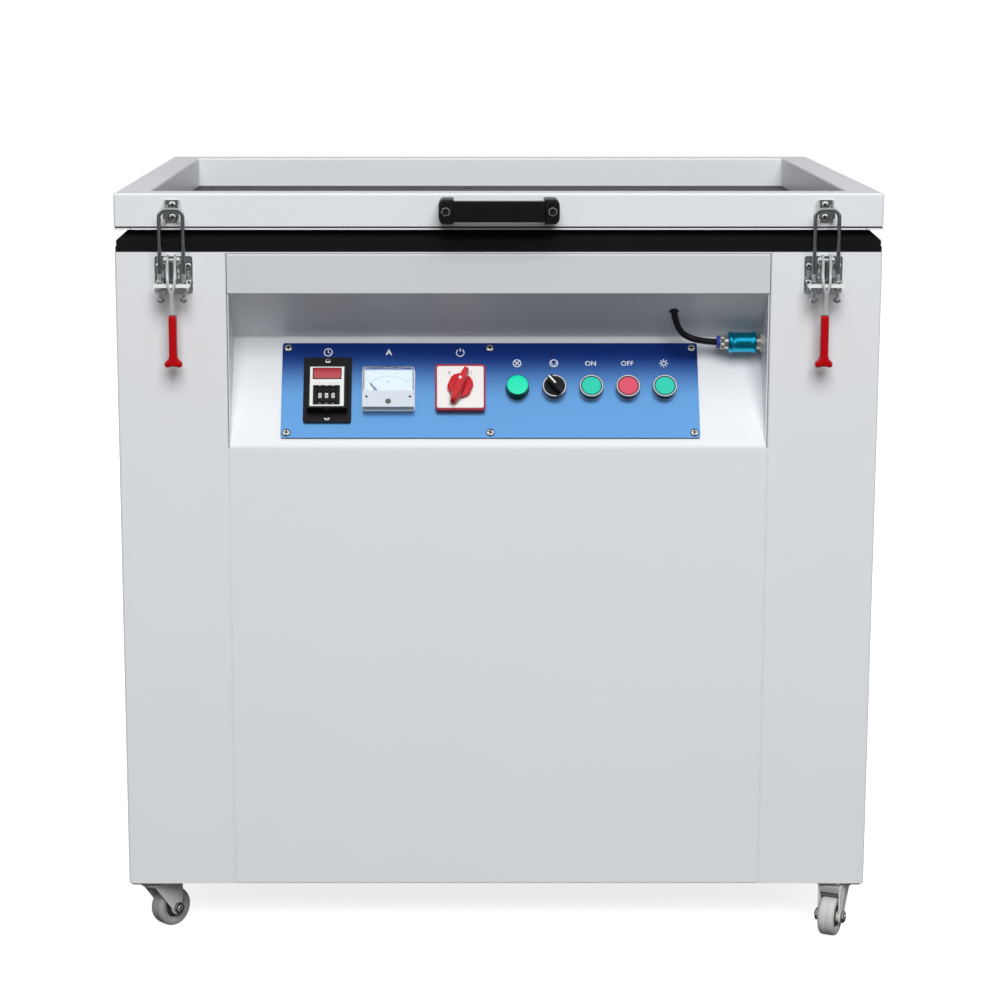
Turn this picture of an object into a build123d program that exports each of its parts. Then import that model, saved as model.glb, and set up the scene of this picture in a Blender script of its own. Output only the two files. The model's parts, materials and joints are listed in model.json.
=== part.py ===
from build123d import *
import os
from math import atan2, cos, degrees, hypot, radians, sin

# Screen printing exposure unit: a sheet steel cabinet on four swivel casters, with a glass
# bed, a hinged vacuum lid, two toggle latches and a sloping control panel in a front recess.
# Millimetres. X runs right, Y to the rear, Z up; the floor is Z = 0 and the origin lies under
# the middle of the unit. Depths called "in" are measured back from the cabinet's front plane,
# and reaches are measured out in front of it.

os.makedirs("parts", exist_ok=True)

# ---------------------------------------------------------------- driving dimensions
cabinet_width = 930.0
cabinet_depth = 720.0
cabinet_top = 870.0
caster_height = 70.0
sheet = 1.5
bend_radius = 3.0
seam = 0.8
return_flange = 18.0
tray_wall = 30.0
vent_length = 80.0
vent_width = 6.0
vent_pitch = 110.0

side_strip = 135.0
header_height = 50.0
ceiling_rise = 64.0
slope_rise = 125.0
recess_depth = 82.0

glass_thickness = 8.0
glass_inset = 60.0
glass_ledge = 12.0
glass_corner = 4.0
glass_edge = 1.0

gasket_inset = 2.0
gasket_width = 43.0
gasket_height = 14.0
gasket_groove = 1.0
gasket_lip_inset = 14.0
gasket_lip_width = 22.0
seal_clearance = 0.3

lid_tube = 40.0
lid_tube_wall = 1.5
lid_gap = 27.0
clamp_thickness = 2.0
clamp_width = 20.0
blanket_thickness = 2.0
blanket_margin = 1.0

hinge_offset = 8.0
hinge_height = 16.0
knuckle_radius = 6.5
hinge_pin_radius = 4.0
hinge_pin_fit = 0.5
hinge_inset = 185.0
hinge_length = 90.0
leaf_thickness = 2.5
leaf_drop = 46.0
leaf_margin = 2.0
leaf_web = 0.3

handle_length = 145.0
handle_hole_inset = 8.5
handle_block_height = 30.0
handle_bar_height = 25.0
handle_reach = 38.0
handle_bar_thickness = 13.0
handle_end_width = 18.0
handle_corner = 10.0
handle_rise = 0.5
handle_bolt_radius = 3.2
handle_bolt_sink_radius = 6.2
handle_bolt_sink = 6.0

latch_inset = 71.5
latch_plate_width = 46.0
latch_plate_height = 44.0
latch_plate_thickness = 2.5
latch_plate_corner = 3.0
latch_plate_rise = 3.5
latch_screw_spacing_x = 36.0
latch_screw_spacing_z = 20.0
latch_screw_radius = 3.0
latch_screw_head = 1.6
latch_pivot_drop = 8.0
latch_pivot_reach = 22.0
latch_pin_radius = 2.5
latch_pin_head = 1.5
ear_gap = 12.8
ear_sheet = 2.0
ear_nose = 5.5
ear_root = 10.0
ear_foot = 12.0
latch_throw = 30.0
latch_bar_height = 53.0
latch_bar_reach = 25.0
lever_sheet = 2.2
lever_gap = 6.8
lever_eye = 6.5
lever_crotch = 8.0
blade_thickness = 5.0
blade_depth = 10.0
blade_clearance = 0.02
grip_drop = 66.0
grip_length = 64.5
grip_width = 10.8
grip_depth = 14.0
grip_flare = 23.0
grip_flare_height = 9.0
grip_floor = 12.0
grip_round = 1.5
bail_rod = 5.0
bail_width = 33.6
bail_tail = 21.0
bail_corner = 9.0
cross_plate = 3.5
cross_plate_depth = 14.0
cross_plate_width = 43.5
journal_radius = 3.0
journal_root = 1.0
nut_flats = 8.0
nut_height = 4.0
nut_inset = 1.5
catch_width = 19.5
catch_height = 27.0
catch_base = 2.0
catch_rise = 5.0
catch_screw_radius = 3.6
catch_screw_head = 2.0
catch_screw_inset = 6.0
hook_gap = 6.0
hook_offset = 6.5

strut_inset = 16.0
strut_radius = 250.0
strut_closed_angle = 70.0
strut_lid_angle = 7.8
strut_cylinder_radius = 9.0
strut_rod_radius = 4.0
strut_pin_radius = 4.0
strut_pin_proud = 6.0
strut_eye_wall = 5.0
strut_eye_width = 10.0
strut_neck = 2.0
strut_bore_start = 8.0
strut_cylinder_length = 215.0
strut_rod_length = 240.0

wheel_diameter = 50.0
wheel_width = 21.0
wheel_corner = 3.0
wheel_dish = 3.0
tyre_depth = 7.0
hub_radius = 9.0
hub_boss = 1.5
caster_inset = 30.0
caster_turns = {"front_left": 45, "front_right": 246, "rear_left": 330, "rear_right": 200}
caster_plate_size = 56.0
caster_plate_thickness = 2.5
caster_plate_corner = 5.0
caster_bolt_spacing = 42.0
caster_bolt_radius = 3.2
caster_trail = 24.0
crown_radius = 20.0
crown_height = 8.0
crown_edge = 2.0
king_pin_radius = 5.0
king_pin_head = 3.0
fork_sheet = 2.5
fork_gap = 2.0
fork_eye = 9.0
axle_radius = 4.0
axle_nut_flats = 13.0
axle_nut_height = 3.5
axle_tip = 0.5

panel_width = 516.0
panel_height = 129.0
panel_shift = -9.1
panel_rise = 1.1
panel_thickness = 1.5
panel_corner = 3.0
panel_screw_inset = 7.0
panel_screw_radius = 4.5
panel_screw_head = 1.6
panel_screw_edge = 0.6
cutout_clearance = 0.5

timer_offset = (-201.2, -0.9)
timer_bezel_width = 59.5
timer_bezel_height = 88.0
timer_bezel_reach = 3.5
timer_bezel_corner = 3.0
timer_width = 50.6
timer_height = 59.4
timer_corner = 2.0
timer_draft = 3.0
timer_drop = 1.9
timer_reach = 17.0
timer_body_width = 44.0
timer_body_height = 66.0
timer_body_depth = 55.0
timer_window_width = 34.0
timer_window_height = 14.0
timer_window_rise = 17.5
timer_window_sink = 1.0
rocker_pitch = 8.1
rocker_width = 5.4
rocker_length = 20.0
rocker_key_length = 5.0
rocker_key_rise = 6.0
rocker_floor_rise = 2.0
rocker_underside = 1.5
rocker_bevel = 1.0
rocker_pocket = 9.0
rocker_swing_room = 1.0
rocker_pin_radius = 1.0
rocker_pin_length = 1.0
rocker_pin_sink = 4.5
rocker_shift = -0.4
rocker_drop = 11.7

ammeter_offset = (-125.7, -1.7)
ammeter_width = 65.5
ammeter_height = 56.5
ammeter_corner = 3.0
ammeter_flange = 4.0
ammeter_reach = 14.0
ammeter_rim = 1.2
ammeter_front_height = 22.0
ammeter_window_wall = 1.5
ammeter_barrel_radius = 25.0
ammeter_barrel_depth = 30.0
dial_thickness = 2.5
needle_pivot_rise = 8.5
needle_length = 35.0
needle_width = 1.0
needle_thickness = 1.0
needle_hub_radius = 3.0
needle_gap = 1.0
needle_margin = 2.0
needle_angle = 130.0
needle_room = 2.5

cam_switch_offset = (-36.9, 0.6)
cam_switch_size = 62.0
cam_switch_corner = 4.0
cam_switch_plate_reach = 8.0
cam_switch_neck_radius = 14.0
cam_switch_block = 44.0
cam_switch_block_depth = 52.0
cam_shaft_radius = 5.0
cam_shaft_length = 10.0
cam_knob_radius = 16.0
cam_knob_disc = 7.0
cam_knob_reach = 28.0
cam_knob_draft = 5.0
cam_lever_length = 48.0
cam_lever_middle = 6.5
cam_lever_end = 3.5
cam_knob_angle = 62.0

operator_offsets = [33.7, 79.4, 125.1, 170.5, 215.9]
operator_rise = 1.6
operator_ring_radius = 15.0
operator_ring_reach = 9.7
operator_floor = 2.0
barrel_radius = 11.0
barrel_depth = 22.0
contact_block = 28.0
contact_block_depth = 22.0
stem_radius = 6.0
stem_length = 8.0
stem_bore_depth = 12.0
cap_radius = 12.0
cap_reach = 10.2
cap_edge = 0.6
button_travel = 4.0
indicator_radius = 14.2
indicator_reach = 12.5
lens_draft = 3.0
selector_reach = 21.0
selector_bar_width = 8.0
selector_angle = 130.0

valve_from_fold = 32.0
valve_drop = 2.4
valve_sleeve_inset = 45.0
valve_sleeve_radius = 13.2
valve_sleeve_length = 34.5
valve_sleeve_edge = 1.0
valve_spool_radius = 9.0
valve_spool_end = 3.0
valve_travel = 4.5
valve_collar_radius = 7.0
valve_collar_length = 4.0
valve_fitting_radius = 8.0
valve_fitting_length = 14.0
valve_socket_depth = 11.0
valve_tail_radius = 6.5
valve_tail_length = 14.0
valve_hexagon = 22.0
valve_nut = 20.0
valve_nut_thickness = 5.0

hose_radius = 4.0
hose_hole_inset = 113.7
hose_hole_in = 34.0
hose_hole_clearance = 2.2
hose_hole_reach = 8.0
hose_bend_share = 0.45
hose_straight = 27.0
hose_bend = (58.0, 45.0, 10.0)
hose_lean = 1.0
hose_under = 9.0
hose_drop = 16.0
port_in = 52.5
port_radius = 4.0
port_wall = 1.5
port_length = 14.0

louvre_length = 120.0
louvre_width = 8.0
louvre_pitch_x = 170.0
louvre_pitch_z = 24.0
louvre_height = 620.0
cable_entry_inset = 165.0
cable_entry_height = 160.0
cable_entry_radius = 8.2
cable_collar = 4.5
cable_collar_wall = 4.0

hood_bottom = 330.0
hood_bottom_width = 380.0
hood_bottom_depth = 300.0
reflector_bottom = 262.0
reflector_width = 220.0
reflector_depth = 180.0
lamp_socket_radius = 26.0
lamp_socket_length = 60.0
lamp_socket_proud = 12.0
lamp_neck_radius = 16.0
lamp_neck_length = 14.0
lamp_bulb_radius = 30.0
lamp_bulb_length = 110.0
lamp_shoulder = 12.0

pump_inset = 235.0
pump_foot_width = 190.0
pump_foot_depth = 110.0
pump_foot_thickness = 4.0
pump_foot_corner = 6.0
pump_axis_height = 62.0
pump_motor_radius = 44.0
pump_motor_length = 120.0
pump_saddle_length = 84.0
pump_saddle_depth = 44.0
pump_head_width = 90.0
pump_head_height = 96.0
pump_head_length = 45.0
pump_head_corner = 8.0

drain_radius = 4.0
running_clearance = 0.05
fit_clearance = 0.3

# ---------------------------------------------------------------- places worked out from them
hinge_reach = hinge_offset + knuckle_radius
front = -(cabinet_depth + hinge_reach - handle_reach) / 2
back = front + cabinet_depth
middle = (front + back) / 2
half_width = cabinet_width / 2
base_level = caster_height
header_top = cabinet_top - sheet
body_height = header_top - base_level

recess_half_width = half_width - side_strip
recess_top = cabinet_top - header_height
recess_fold_height = recess_top - ceiling_rise
recess_bottom = recess_fold_height - slope_rise
fascia_half = recess_half_width - seam / 2

clamp_level = cabinet_top + lid_gap
blanket_level = clamp_level + clamp_thickness
frame_level = blanket_level + blanket_thickness
lid_top = frame_level + lid_tube

slope_angle = degrees(atan2(recess_depth, recess_fold_height - recess_bottom))
slope_plane = Plane(
    origin=(0, front, recess_bottom),
    x_dir=(1, 0, 0),
    z_dir=(0, -cos(radians(slope_angle)), sin(radians(slope_angle))),
)
face_plane = slope_plane.offset(panel_thickness)
face_axis = Axis(face_plane.origin, face_plane.z_dir)
panel_middle = (panel_shift, hypot(recess_depth, slope_rise) / 2 + panel_rise)
timer_place = (panel_middle[0] + timer_offset[0], panel_middle[1] + timer_offset[1])
ammeter_place = (panel_middle[0] + ammeter_offset[0], panel_middle[1] + ammeter_offset[1])
cam_switch_place = (
    panel_middle[0] + cam_switch_offset[0],
    panel_middle[1] + cam_switch_offset[1],
)
operator_places = [
    (panel_middle[0] + offset_u, panel_middle[1] + operator_rise)
    for offset_u in operator_offsets
]

valve_y = front + recess_depth - valve_from_fold
valve_height = recess_fold_height - valve_drop
valve_sleeve_left = recess_half_width - valve_sleeve_inset
hose_hole_x = recess_half_width - hose_hole_inset
hose_hole_height = recess_top - ceiling_rise * hose_hole_in / recess_depth

hinge_y = back + hinge_offset
hinge_z = cabinet_top + hinge_height

strut_turn = radians(strut_lid_angle)
strut_fall = radians(strut_closed_angle - strut_lid_angle)
strut_top = (hinge_y - strut_radius * cos(strut_turn), hinge_z + strut_radius * sin(strut_turn))
strut_foot = (hinge_y - strut_radius * cos(strut_fall), hinge_z - strut_radius * sin(strut_fall))
strut_stud_length = strut_inset + strut_pin_proud

latch_spacing = cabinet_width - 2 * latch_inset
latch_pivot_z = cabinet_top - latch_pivot_drop
latch_pivot_y = front - latch_pivot_reach
trunnion_z = latch_pivot_z - latch_throw
trunnion_y = front - latch_bar_reach
latch_bar_z = cabinet_top + latch_bar_height

sides = {"left": -1, "right": 1}


def plan(height):
    """Horizontal plane at a height, seen from above."""
    return Plane.XY.offset(height)


def section(x):
    """Vertical plane across X, with its own X running to the rear and its Y up."""
    return Plane(origin=(x, 0, 0), x_dir=(0, 1, 0), z_dir=(1, 0, 0))


def export(builder, name):
    """Label one finished piece and write it as its own STEP file."""
    builder.part.label = name
    export_step(builder.part, f"parts/{name}.step")


# ---------------------------------------------------------------- cabinet shell
with BuildPart() as base_tray:
    tray_gap = sheet + fit_clearance
    notch_width = 2 * (recess_half_width + seam / 2 + tray_gap)
    with BuildSketch(plan(base_level)):
        with Locations((0, middle)):
            RectangleRounded(cabinet_width - 2 * tray_gap, cabinet_depth - 2 * tray_gap, bend_radius)
        with Locations((0, front)):
            Rectangle(
                notch_width,
                return_flange + fit_clearance,
                align=(Align.CENTER, Align.MIN),
                mode=Mode.SUBTRACT,
            )
    extrude(amount=tray_wall)
    tray_open_face = base_tray.faces().sort_by(Axis.Z)[-1]
    offset(amount=-sheet, openings=tray_open_face)
    with BuildSketch(plan(base_level)):
        with Locations((0, middle)):
            with GridLocations(vent_pitch, vent_pitch / 2, 4, 5):
                SlotOverall(vent_length, vent_width)
    extrude(amount=sheet, mode=Mode.SUBTRACT)
export(base_tray, "base_tray")


def side_panel(side):
    """One side of the cabinet with the strip of front it turns round to, bent from one sheet."""
    inner_edge = side * (recess_half_width + seam / 2)
    outer_edge = side * half_width
    with BuildPart() as panel:
        with BuildSketch(plan(base_level)):
            with BuildLine():
                outline = FilletPolyline(
                    (inner_edge, front + return_flange),
                    (inner_edge, front),
                    (outer_edge, front),
                    (outer_edge, back),
                    (outer_edge - side * 2 * return_flange, back),
                    radius=bend_radius,
                )
                offset(outline, amount=sheet, side=Side.RIGHT if side < 0 else Side.LEFT)
            make_face()
        extrude(amount=body_height)
        # the stud that the gas strut's foot turns on
        with BuildSketch(section(outer_edge)):
            with Locations(strut_foot):
                Circle(strut_pin_radius)
        extrude(amount=side * strut_stud_length)
    return panel


for side_name, side in sides.items():
    export(side_panel(side), f"side_panel_{side_name}")

with BuildPart() as upper_fascia:
    with BuildSketch(section(-fascia_half)):
        with BuildLine():
            fold_line = FilletPolyline(
                (front + return_flange, header_top),
                (front, header_top),
                (front, recess_top),
                (front + recess_depth, recess_fold_height),
                (front, recess_bottom),
                (front + return_flange, recess_bottom),
                radius=[bend_radius, bend_radius / 2, bend_radius, bend_radius / 2],
            )
            offset(fold_line, amount=sheet, side=Side.LEFT)
        make_face()
    extrude(amount=2 * fascia_half)
    for cheek_x in (-fascia_half, fascia_half - sheet):
        with BuildSketch(section(cheek_x)):
            with BuildLine():
                Polyline(
                    (front + sheet, recess_top - sheet),
                    (front + recess_depth, recess_fold_height),
                    (front + sheet, recess_bottom + sheet),
                    close=True,
                )
            make_face()
        extrude(amount=sheet)
    # holes through the slope for the instruments, and through the ceiling for the hose
    with BuildSketch(slope_plane) as instrument_holes:
        with Locations(timer_place):
            Rectangle(timer_body_width + 2 * cutout_clearance, timer_body_height + 2 * cutout_clearance)
        with Locations(ammeter_place):
            Circle(ammeter_barrel_radius + cutout_clearance)
        with Locations(cam_switch_place):
            Circle(cam_switch_neck_radius + cutout_clearance)
        with Locations(operator_places):
            Circle(barrel_radius + fit_clearance)
    extrude(amount=-2 * sheet, mode=Mode.SUBTRACT)
    with BuildSketch(plan(hose_hole_height - hose_hole_reach)):
        with Locations((hose_hole_x, front + hose_hole_in)):
            Circle(hose_radius + hose_hole_clearance)
    extrude(amount=2 * hose_hole_reach, mode=Mode.SUBTRACT)
    with BuildSketch(section(fascia_half - sheet)):
        with Locations((valve_y, valve_height)):
            Circle(valve_tail_radius + fit_clearance)
    extrude(amount=sheet, mode=Mode.SUBTRACT)
export(upper_fascia, "upper_fascia")

with BuildPart() as front_panel:
    front_panel_height = recess_bottom - seam - base_level
    with BuildSketch(plan(base_level)):
        with Locations((0, front)):
            Rectangle(2 * fascia_half, return_flange, align=(Align.CENTER, Align.MIN))
    extrude(amount=front_panel_height)
    offset(amount=-sheet, openings=front_panel.faces().sort_by(Axis.Y)[-1])
    fillet(front_panel.edges().group_by(Axis.Y)[0], bend_radius / 2)
export(front_panel, "front_panel")

with BuildPart() as back_panel:
    panel_bottom = base_level + tray_wall + seam
    panel_half = half_width - return_flange
    panel_outer = back - sheet
    with BuildSketch(Plane.XZ.offset(-panel_outer)):
        with Locations((0, panel_bottom)):
            Rectangle(2 * panel_half, header_top - panel_bottom, align=(Align.CENTER, Align.MIN))
    extrude(amount=sheet)
    cable_entry_x = half_width - cable_entry_inset
    with BuildSketch(Plane.XZ.offset(-panel_outer)):
        with Locations((0, louvre_height)):
            with GridLocations(louvre_pitch_x, louvre_pitch_z, 3, 6):
                SlotOverall(louvre_length, louvre_width)
        with Locations((cable_entry_x, cable_entry_height)):
            Circle(cable_entry_radius)
    extrude(amount=sheet, mode=Mode.SUBTRACT)
    # a hood over each louvre slot, open below
    for location in GridLocations(louvre_pitch_x, louvre_pitch_z, 3, 6):
        louvre_x = location.position.X
        louvre_z = louvre_height + location.position.Y
        with BuildSketch(section(louvre_x - louvre_length / 2)):
            with BuildLine():
                Polyline(
                    (panel_outer, louvre_z + louvre_width),
                    (panel_outer + louvre_width, louvre_z - louvre_width / 2),
                    (panel_outer + louvre_width - sheet, louvre_z - louvre_width / 2),
                    (panel_outer, louvre_z + louvre_width - 2 * sheet),
                    close=True,
                )
            make_face()
        extrude(amount=louvre_length)
    with BuildSketch(Plane.XZ.offset(-panel_outer)):
        with Locations((cable_entry_x, cable_entry_height)):
            Circle(cable_entry_radius + cable_collar_wall)
            Circle(cable_entry_radius, mode=Mode.SUBTRACT)
    extrude(amount=-cable_collar)
export(back_panel, "back_panel")

with BuildPart() as top_deck:
    with BuildSketch(plan(header_top)):
        with Locations((0, middle)):
            Rectangle(cabinet_width, cabinet_depth)
            opening_inset = glass_inset + glass_ledge
            Rectangle(
                cabinet_width - 2 * opening_inset,
                cabinet_depth - 2 * opening_inset,
                mode=Mode.SUBTRACT,
            )
        with Locations((hose_hole_x, front + port_in)):
            Circle(port_radius - port_wall, mode=Mode.SUBTRACT)
    extrude(amount=sheet)
    fillet(top_deck.edges().filter_by(Axis.Z).group_by(SortBy.DISTANCE)[-1], bend_radius)
    # the vacuum port's nipple under the deck
    with BuildSketch(plan(header_top)):
        with Locations((hose_hole_x, front + port_in)):
            Circle(port_radius)
            Circle(port_radius - port_wall, mode=Mode.SUBTRACT)
    extrude(amount=-port_length)
export(top_deck, "top_deck")

with BuildPart() as exposure_glass:
    glass_width = cabinet_width - 2 * glass_inset
    glass_depth = cabinet_depth - 2 * glass_inset
    with BuildSketch(plan(cabinet_top)):
        with Locations((0, middle)):
            RectangleRounded(glass_width, glass_depth, glass_corner)
    extrude(amount=glass_thickness)
    chamfer(exposure_glass.edges().group_by(Axis.Z)[-1], glass_edge)
export(exposure_glass, "exposure_glass")

with BuildPart() as rim_gasket:
    # the section is drawn at the middle of the left side and swept round the rim
    lip_top = clamp_level - seal_clearance
    with BuildLine():
        gasket_path = Polyline(
            (-half_width, front, cabinet_top),
            (half_width, front, cabinet_top),
            (half_width, back, cabinet_top),
            (-half_width, back, cabinet_top),
            close=True,
        )
    with BuildSketch(Plane(origin=(-half_width, front, cabinet_top), x_dir=(0, 1, 0), z_dir=(1, 0, 0))):
        with BuildLine():
            Polyline(
                (gasket_inset - gasket_groove, 0),
                (gasket_inset - gasket_groove, (gasket_height - gasket_groove) / 2),
                (gasket_inset, gasket_height / 2),
                (gasket_inset, gasket_height),
                (gasket_inset + gasket_lip_inset, lip_top - cabinet_top),
                (gasket_inset + gasket_lip_inset + gasket_lip_width, lip_top - cabinet_top),
                (gasket_inset + gasket_width, gasket_height),
                (gasket_inset + gasket_width, 0),
                close=True,
            )
        make_face()
    sweep(path=gasket_path, transition=Transition.RIGHT)
export(rim_gasket, "rim_gasket")

# ---------------------------------------------------------------- light source and pump inside
with BuildPart() as light_hood:
    hood_top = header_top - sheet
    hood_inset = opening_inset
    with BuildSketch(plan(hood_top)):
        with Locations((0, middle)):
            Rectangle(cabinet_width - 2 * hood_inset, cabinet_depth - 2 * hood_inset)
    with BuildSketch(plan(hood_bottom)):
        with Locations((0, middle)):
            Rectangle(hood_bottom_width, hood_bottom_depth)
    loft()
    with BuildSketch(plan(hood_bottom)):
        with Locations((0, middle)):
            Rectangle(hood_bottom_width, hood_bottom_depth)
    with BuildSketch(plan(reflector_bottom)):
        with Locations((0, middle)):
            Rectangle(reflector_width, reflector_depth)
    loft()
    hood_mouth = light_hood.faces().filter_by(Axis.Z).sort_by(Axis.Z)[-1]
    offset(amount=-sheet, openings=hood_mouth, kind=Kind.INTERSECTION)
    with BuildSketch(plan(hood_top)):
        with Locations((0, middle)):
            Rectangle(cabinet_width - 2 * glass_inset, cabinet_depth - 2 * glass_inset)
            Rectangle(
                cabinet_width - 2 * hood_inset - 2 * sheet,
                cabinet_depth - 2 * hood_inset - 2 * sheet,
                mode=Mode.SUBTRACT,
            )
    extrude(amount=sheet)
    with BuildSketch(plan(reflector_bottom)):
        with Locations((0, middle)):
            Circle(lamp_socket_radius + fit_clearance)
    extrude(amount=2 * sheet, mode=Mode.SUBTRACT)
export(light_hood, "light_hood")

with BuildPart() as uv_lamp:
    # socket, neck and tubular bulb, turned about the lamp's upright axis
    lamp_base = reflector_bottom - lamp_socket_length
    neck_bottom = reflector_bottom + lamp_socket_proud
    bulb_bottom = neck_bottom + lamp_neck_length
    bulb_top = bulb_bottom + lamp_bulb_length
    with BuildSketch(Plane(origin=(0, middle, 0), x_dir=(1, 0, 0), z_dir=(0, -1, 0))):
        with BuildLine():
            Polyline(
                (0, lamp_base),
                (lamp_socket_radius, lamp_base),
                (lamp_socket_radius, neck_bottom),
                (lamp_neck_radius, neck_bottom),
                (lamp_neck_radius, bulb_bottom),
                (lamp_bulb_radius, bulb_bottom + lamp_shoulder),
                (lamp_bulb_radius, bulb_top - lamp_shoulder),
                (lamp_bulb_radius - lamp_shoulder, bulb_top),
                (0, bulb_top),
                close=True,
            )
        make_face()
    revolve(axis=Axis((0, middle, 0), (0, 0, 1)))
export(uv_lamp, "uv_lamp")

with BuildPart() as vacuum_pump:
    pump_x = pump_inset - half_width
    pump_floor = base_level + sheet
    pump_axis = (middle, pump_floor + pump_axis_height)
    with BuildSketch(plan(pump_floor)):
        with Locations((pump_x, middle)):
            RectangleRounded(pump_foot_width, pump_foot_depth, pump_foot_corner)
    extrude(amount=pump_foot_thickness)
    with BuildSketch(section(pump_x - pump_motor_length / 2)):
        with Locations(pump_axis):
            Circle(pump_motor_radius)
    extrude(amount=pump_motor_length)
    with BuildSketch(section(pump_x + pump_motor_length / 2)):
        with Locations(pump_axis):
            RectangleRounded(pump_head_width, pump_head_height, pump_head_corner)
    extrude(amount=pump_head_length)
    with BuildSketch(plan(pump_floor + pump_foot_thickness)):
        with Locations((pump_x, middle)):
            Rectangle(pump_saddle_length, pump_saddle_depth)
    extrude(amount=pump_axis_height - pump_motor_radius / 2)
export(vacuum_pump, "vacuum_pump")

# ---------------------------------------------------------------- lid
with BuildPart() as lid_frame:
    inner_width = cabinet_width - 2 * lid_tube
    inner_depth = cabinet_depth - 2 * lid_tube
    with BuildSketch(plan(frame_level)):
        with Locations((0, middle)):
            Rectangle(cabinet_width, cabinet_depth)
            Rectangle(inner_width, inner_depth, mode=Mode.SUBTRACT)
    extrude(amount=lid_tube)
    fillet(lid_frame.edges().filter_by(Axis.Z), bend_radius)
    fillet(lid_frame.edges().group_by(Axis.Z)[-1], bend_radius)
    # the bore of the tubes
    with BuildSketch(plan(frame_level + lid_tube_wall)):
        with Locations((0, middle)):
            Rectangle(cabinet_width - 2 * lid_tube_wall, cabinet_depth - 2 * lid_tube_wall)
            Rectangle(
                inner_width + 2 * lid_tube_wall,
                inner_depth + 2 * lid_tube_wall,
                mode=Mode.SUBTRACT,
            )
    extrude(amount=lid_tube - 2 * lid_tube_wall, mode=Mode.SUBTRACT)
    # a drain hole on the underside of each tube
    with BuildSketch(plan(frame_level)):
        with Locations((0, middle)):
            with GridLocations(cabinet_width - lid_tube, cabinet_depth - lid_tube, 2, 2):
                Circle(drain_radius)
    extrude(amount=lid_tube_wall, mode=Mode.SUBTRACT)
    # studs for the gas struts
    for side in sides.values():
        with BuildSketch(section(side * half_width)):
            with Locations(strut_top):
                Circle(strut_pin_radius)
        extrude(amount=side * strut_stud_length)
export(lid_frame, "lid_frame")

with BuildPart() as rubber_blanket:
    with BuildSketch(plan(blanket_level)):
        with Locations((0, middle)):
            Rectangle(cabinet_width - 2 * blanket_margin, cabinet_depth - 2 * blanket_margin)
    extrude(amount=blanket_thickness)
export(rubber_blanket, "rubber_blanket")

with BuildPart() as blanket_clamps:
    long_strip = cabinet_depth
    short_strip = cabinet_width - 2 * clamp_width - 2 * seam
    with BuildSketch(plan(clamp_level)):
        with Locations((0, middle)):
            with GridLocations(cabinet_width - clamp_width, 1, 2, 1):
                Rectangle(clamp_width, long_strip)
            with GridLocations(1, cabinet_depth - clamp_width, 1, 2):
                Rectangle(short_strip, clamp_width)
    extrude(amount=clamp_thickness)
export(blanket_clamps, "blanket_clamps")

with BuildPart() as lid_handle:
    handle_height = frame_level + lid_tube / 2 + handle_rise
    handle_low = handle_height - handle_block_height / 2
    with BuildSketch(plan(handle_low)) as handle_outline:
        with Locations((0, front)):
            Rectangle(handle_length, handle_reach, align=(Align.CENTER, Align.MAX))
        fillet(handle_outline.vertices().group_by(Axis.Y)[0], handle_corner)
    extrude(amount=handle_block_height)
    with BuildSketch(plan(handle_low)) as finger_gap:
        with Locations((0, front)):
            Rectangle(
                handle_length - 2 * handle_end_width,
                handle_reach - handle_bar_thickness,
                align=(Align.CENTER, Align.MAX),
            )
        fillet(finger_gap.vertices().group_by(Axis.Y)[0], handle_corner / 2)
    extrude(amount=handle_block_height, mode=Mode.SUBTRACT)
    # the grip bar is lower than the end blocks
    bar_step = (handle_block_height - handle_bar_height) / 2
    for step_low in (handle_low, handle_low + handle_block_height - bar_step):
        with BuildSketch(plan(step_low)):
            with Locations((0, front)):
                Rectangle(
                    handle_length - 2 * handle_end_width,
                    handle_reach,
                    align=(Align.CENTER, Align.MAX),
                )
        extrude(amount=bar_step, mode=Mode.SUBTRACT)
    # bolt holes through the end blocks, counterbored for hexagon heads
    with Locations(
        Plane(
            origin=(0, front - handle_reach, handle_height),
            x_dir=(1, 0, 0),
            z_dir=(0, -1, 0),
        )
    ):
        with GridLocations(handle_length - 2 * handle_hole_inset, 1, 2, 1):
            CounterBoreHole(handle_bolt_radius, handle_bolt_sink_radius, handle_bolt_sink)
export(lid_handle, "lid_handle")

# ---------------------------------------------------------------- lid hinges at the back
hinge_centres = (hinge_inset - half_width, half_width - hinge_inset)
knuckle_length = hinge_length / 3


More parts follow.
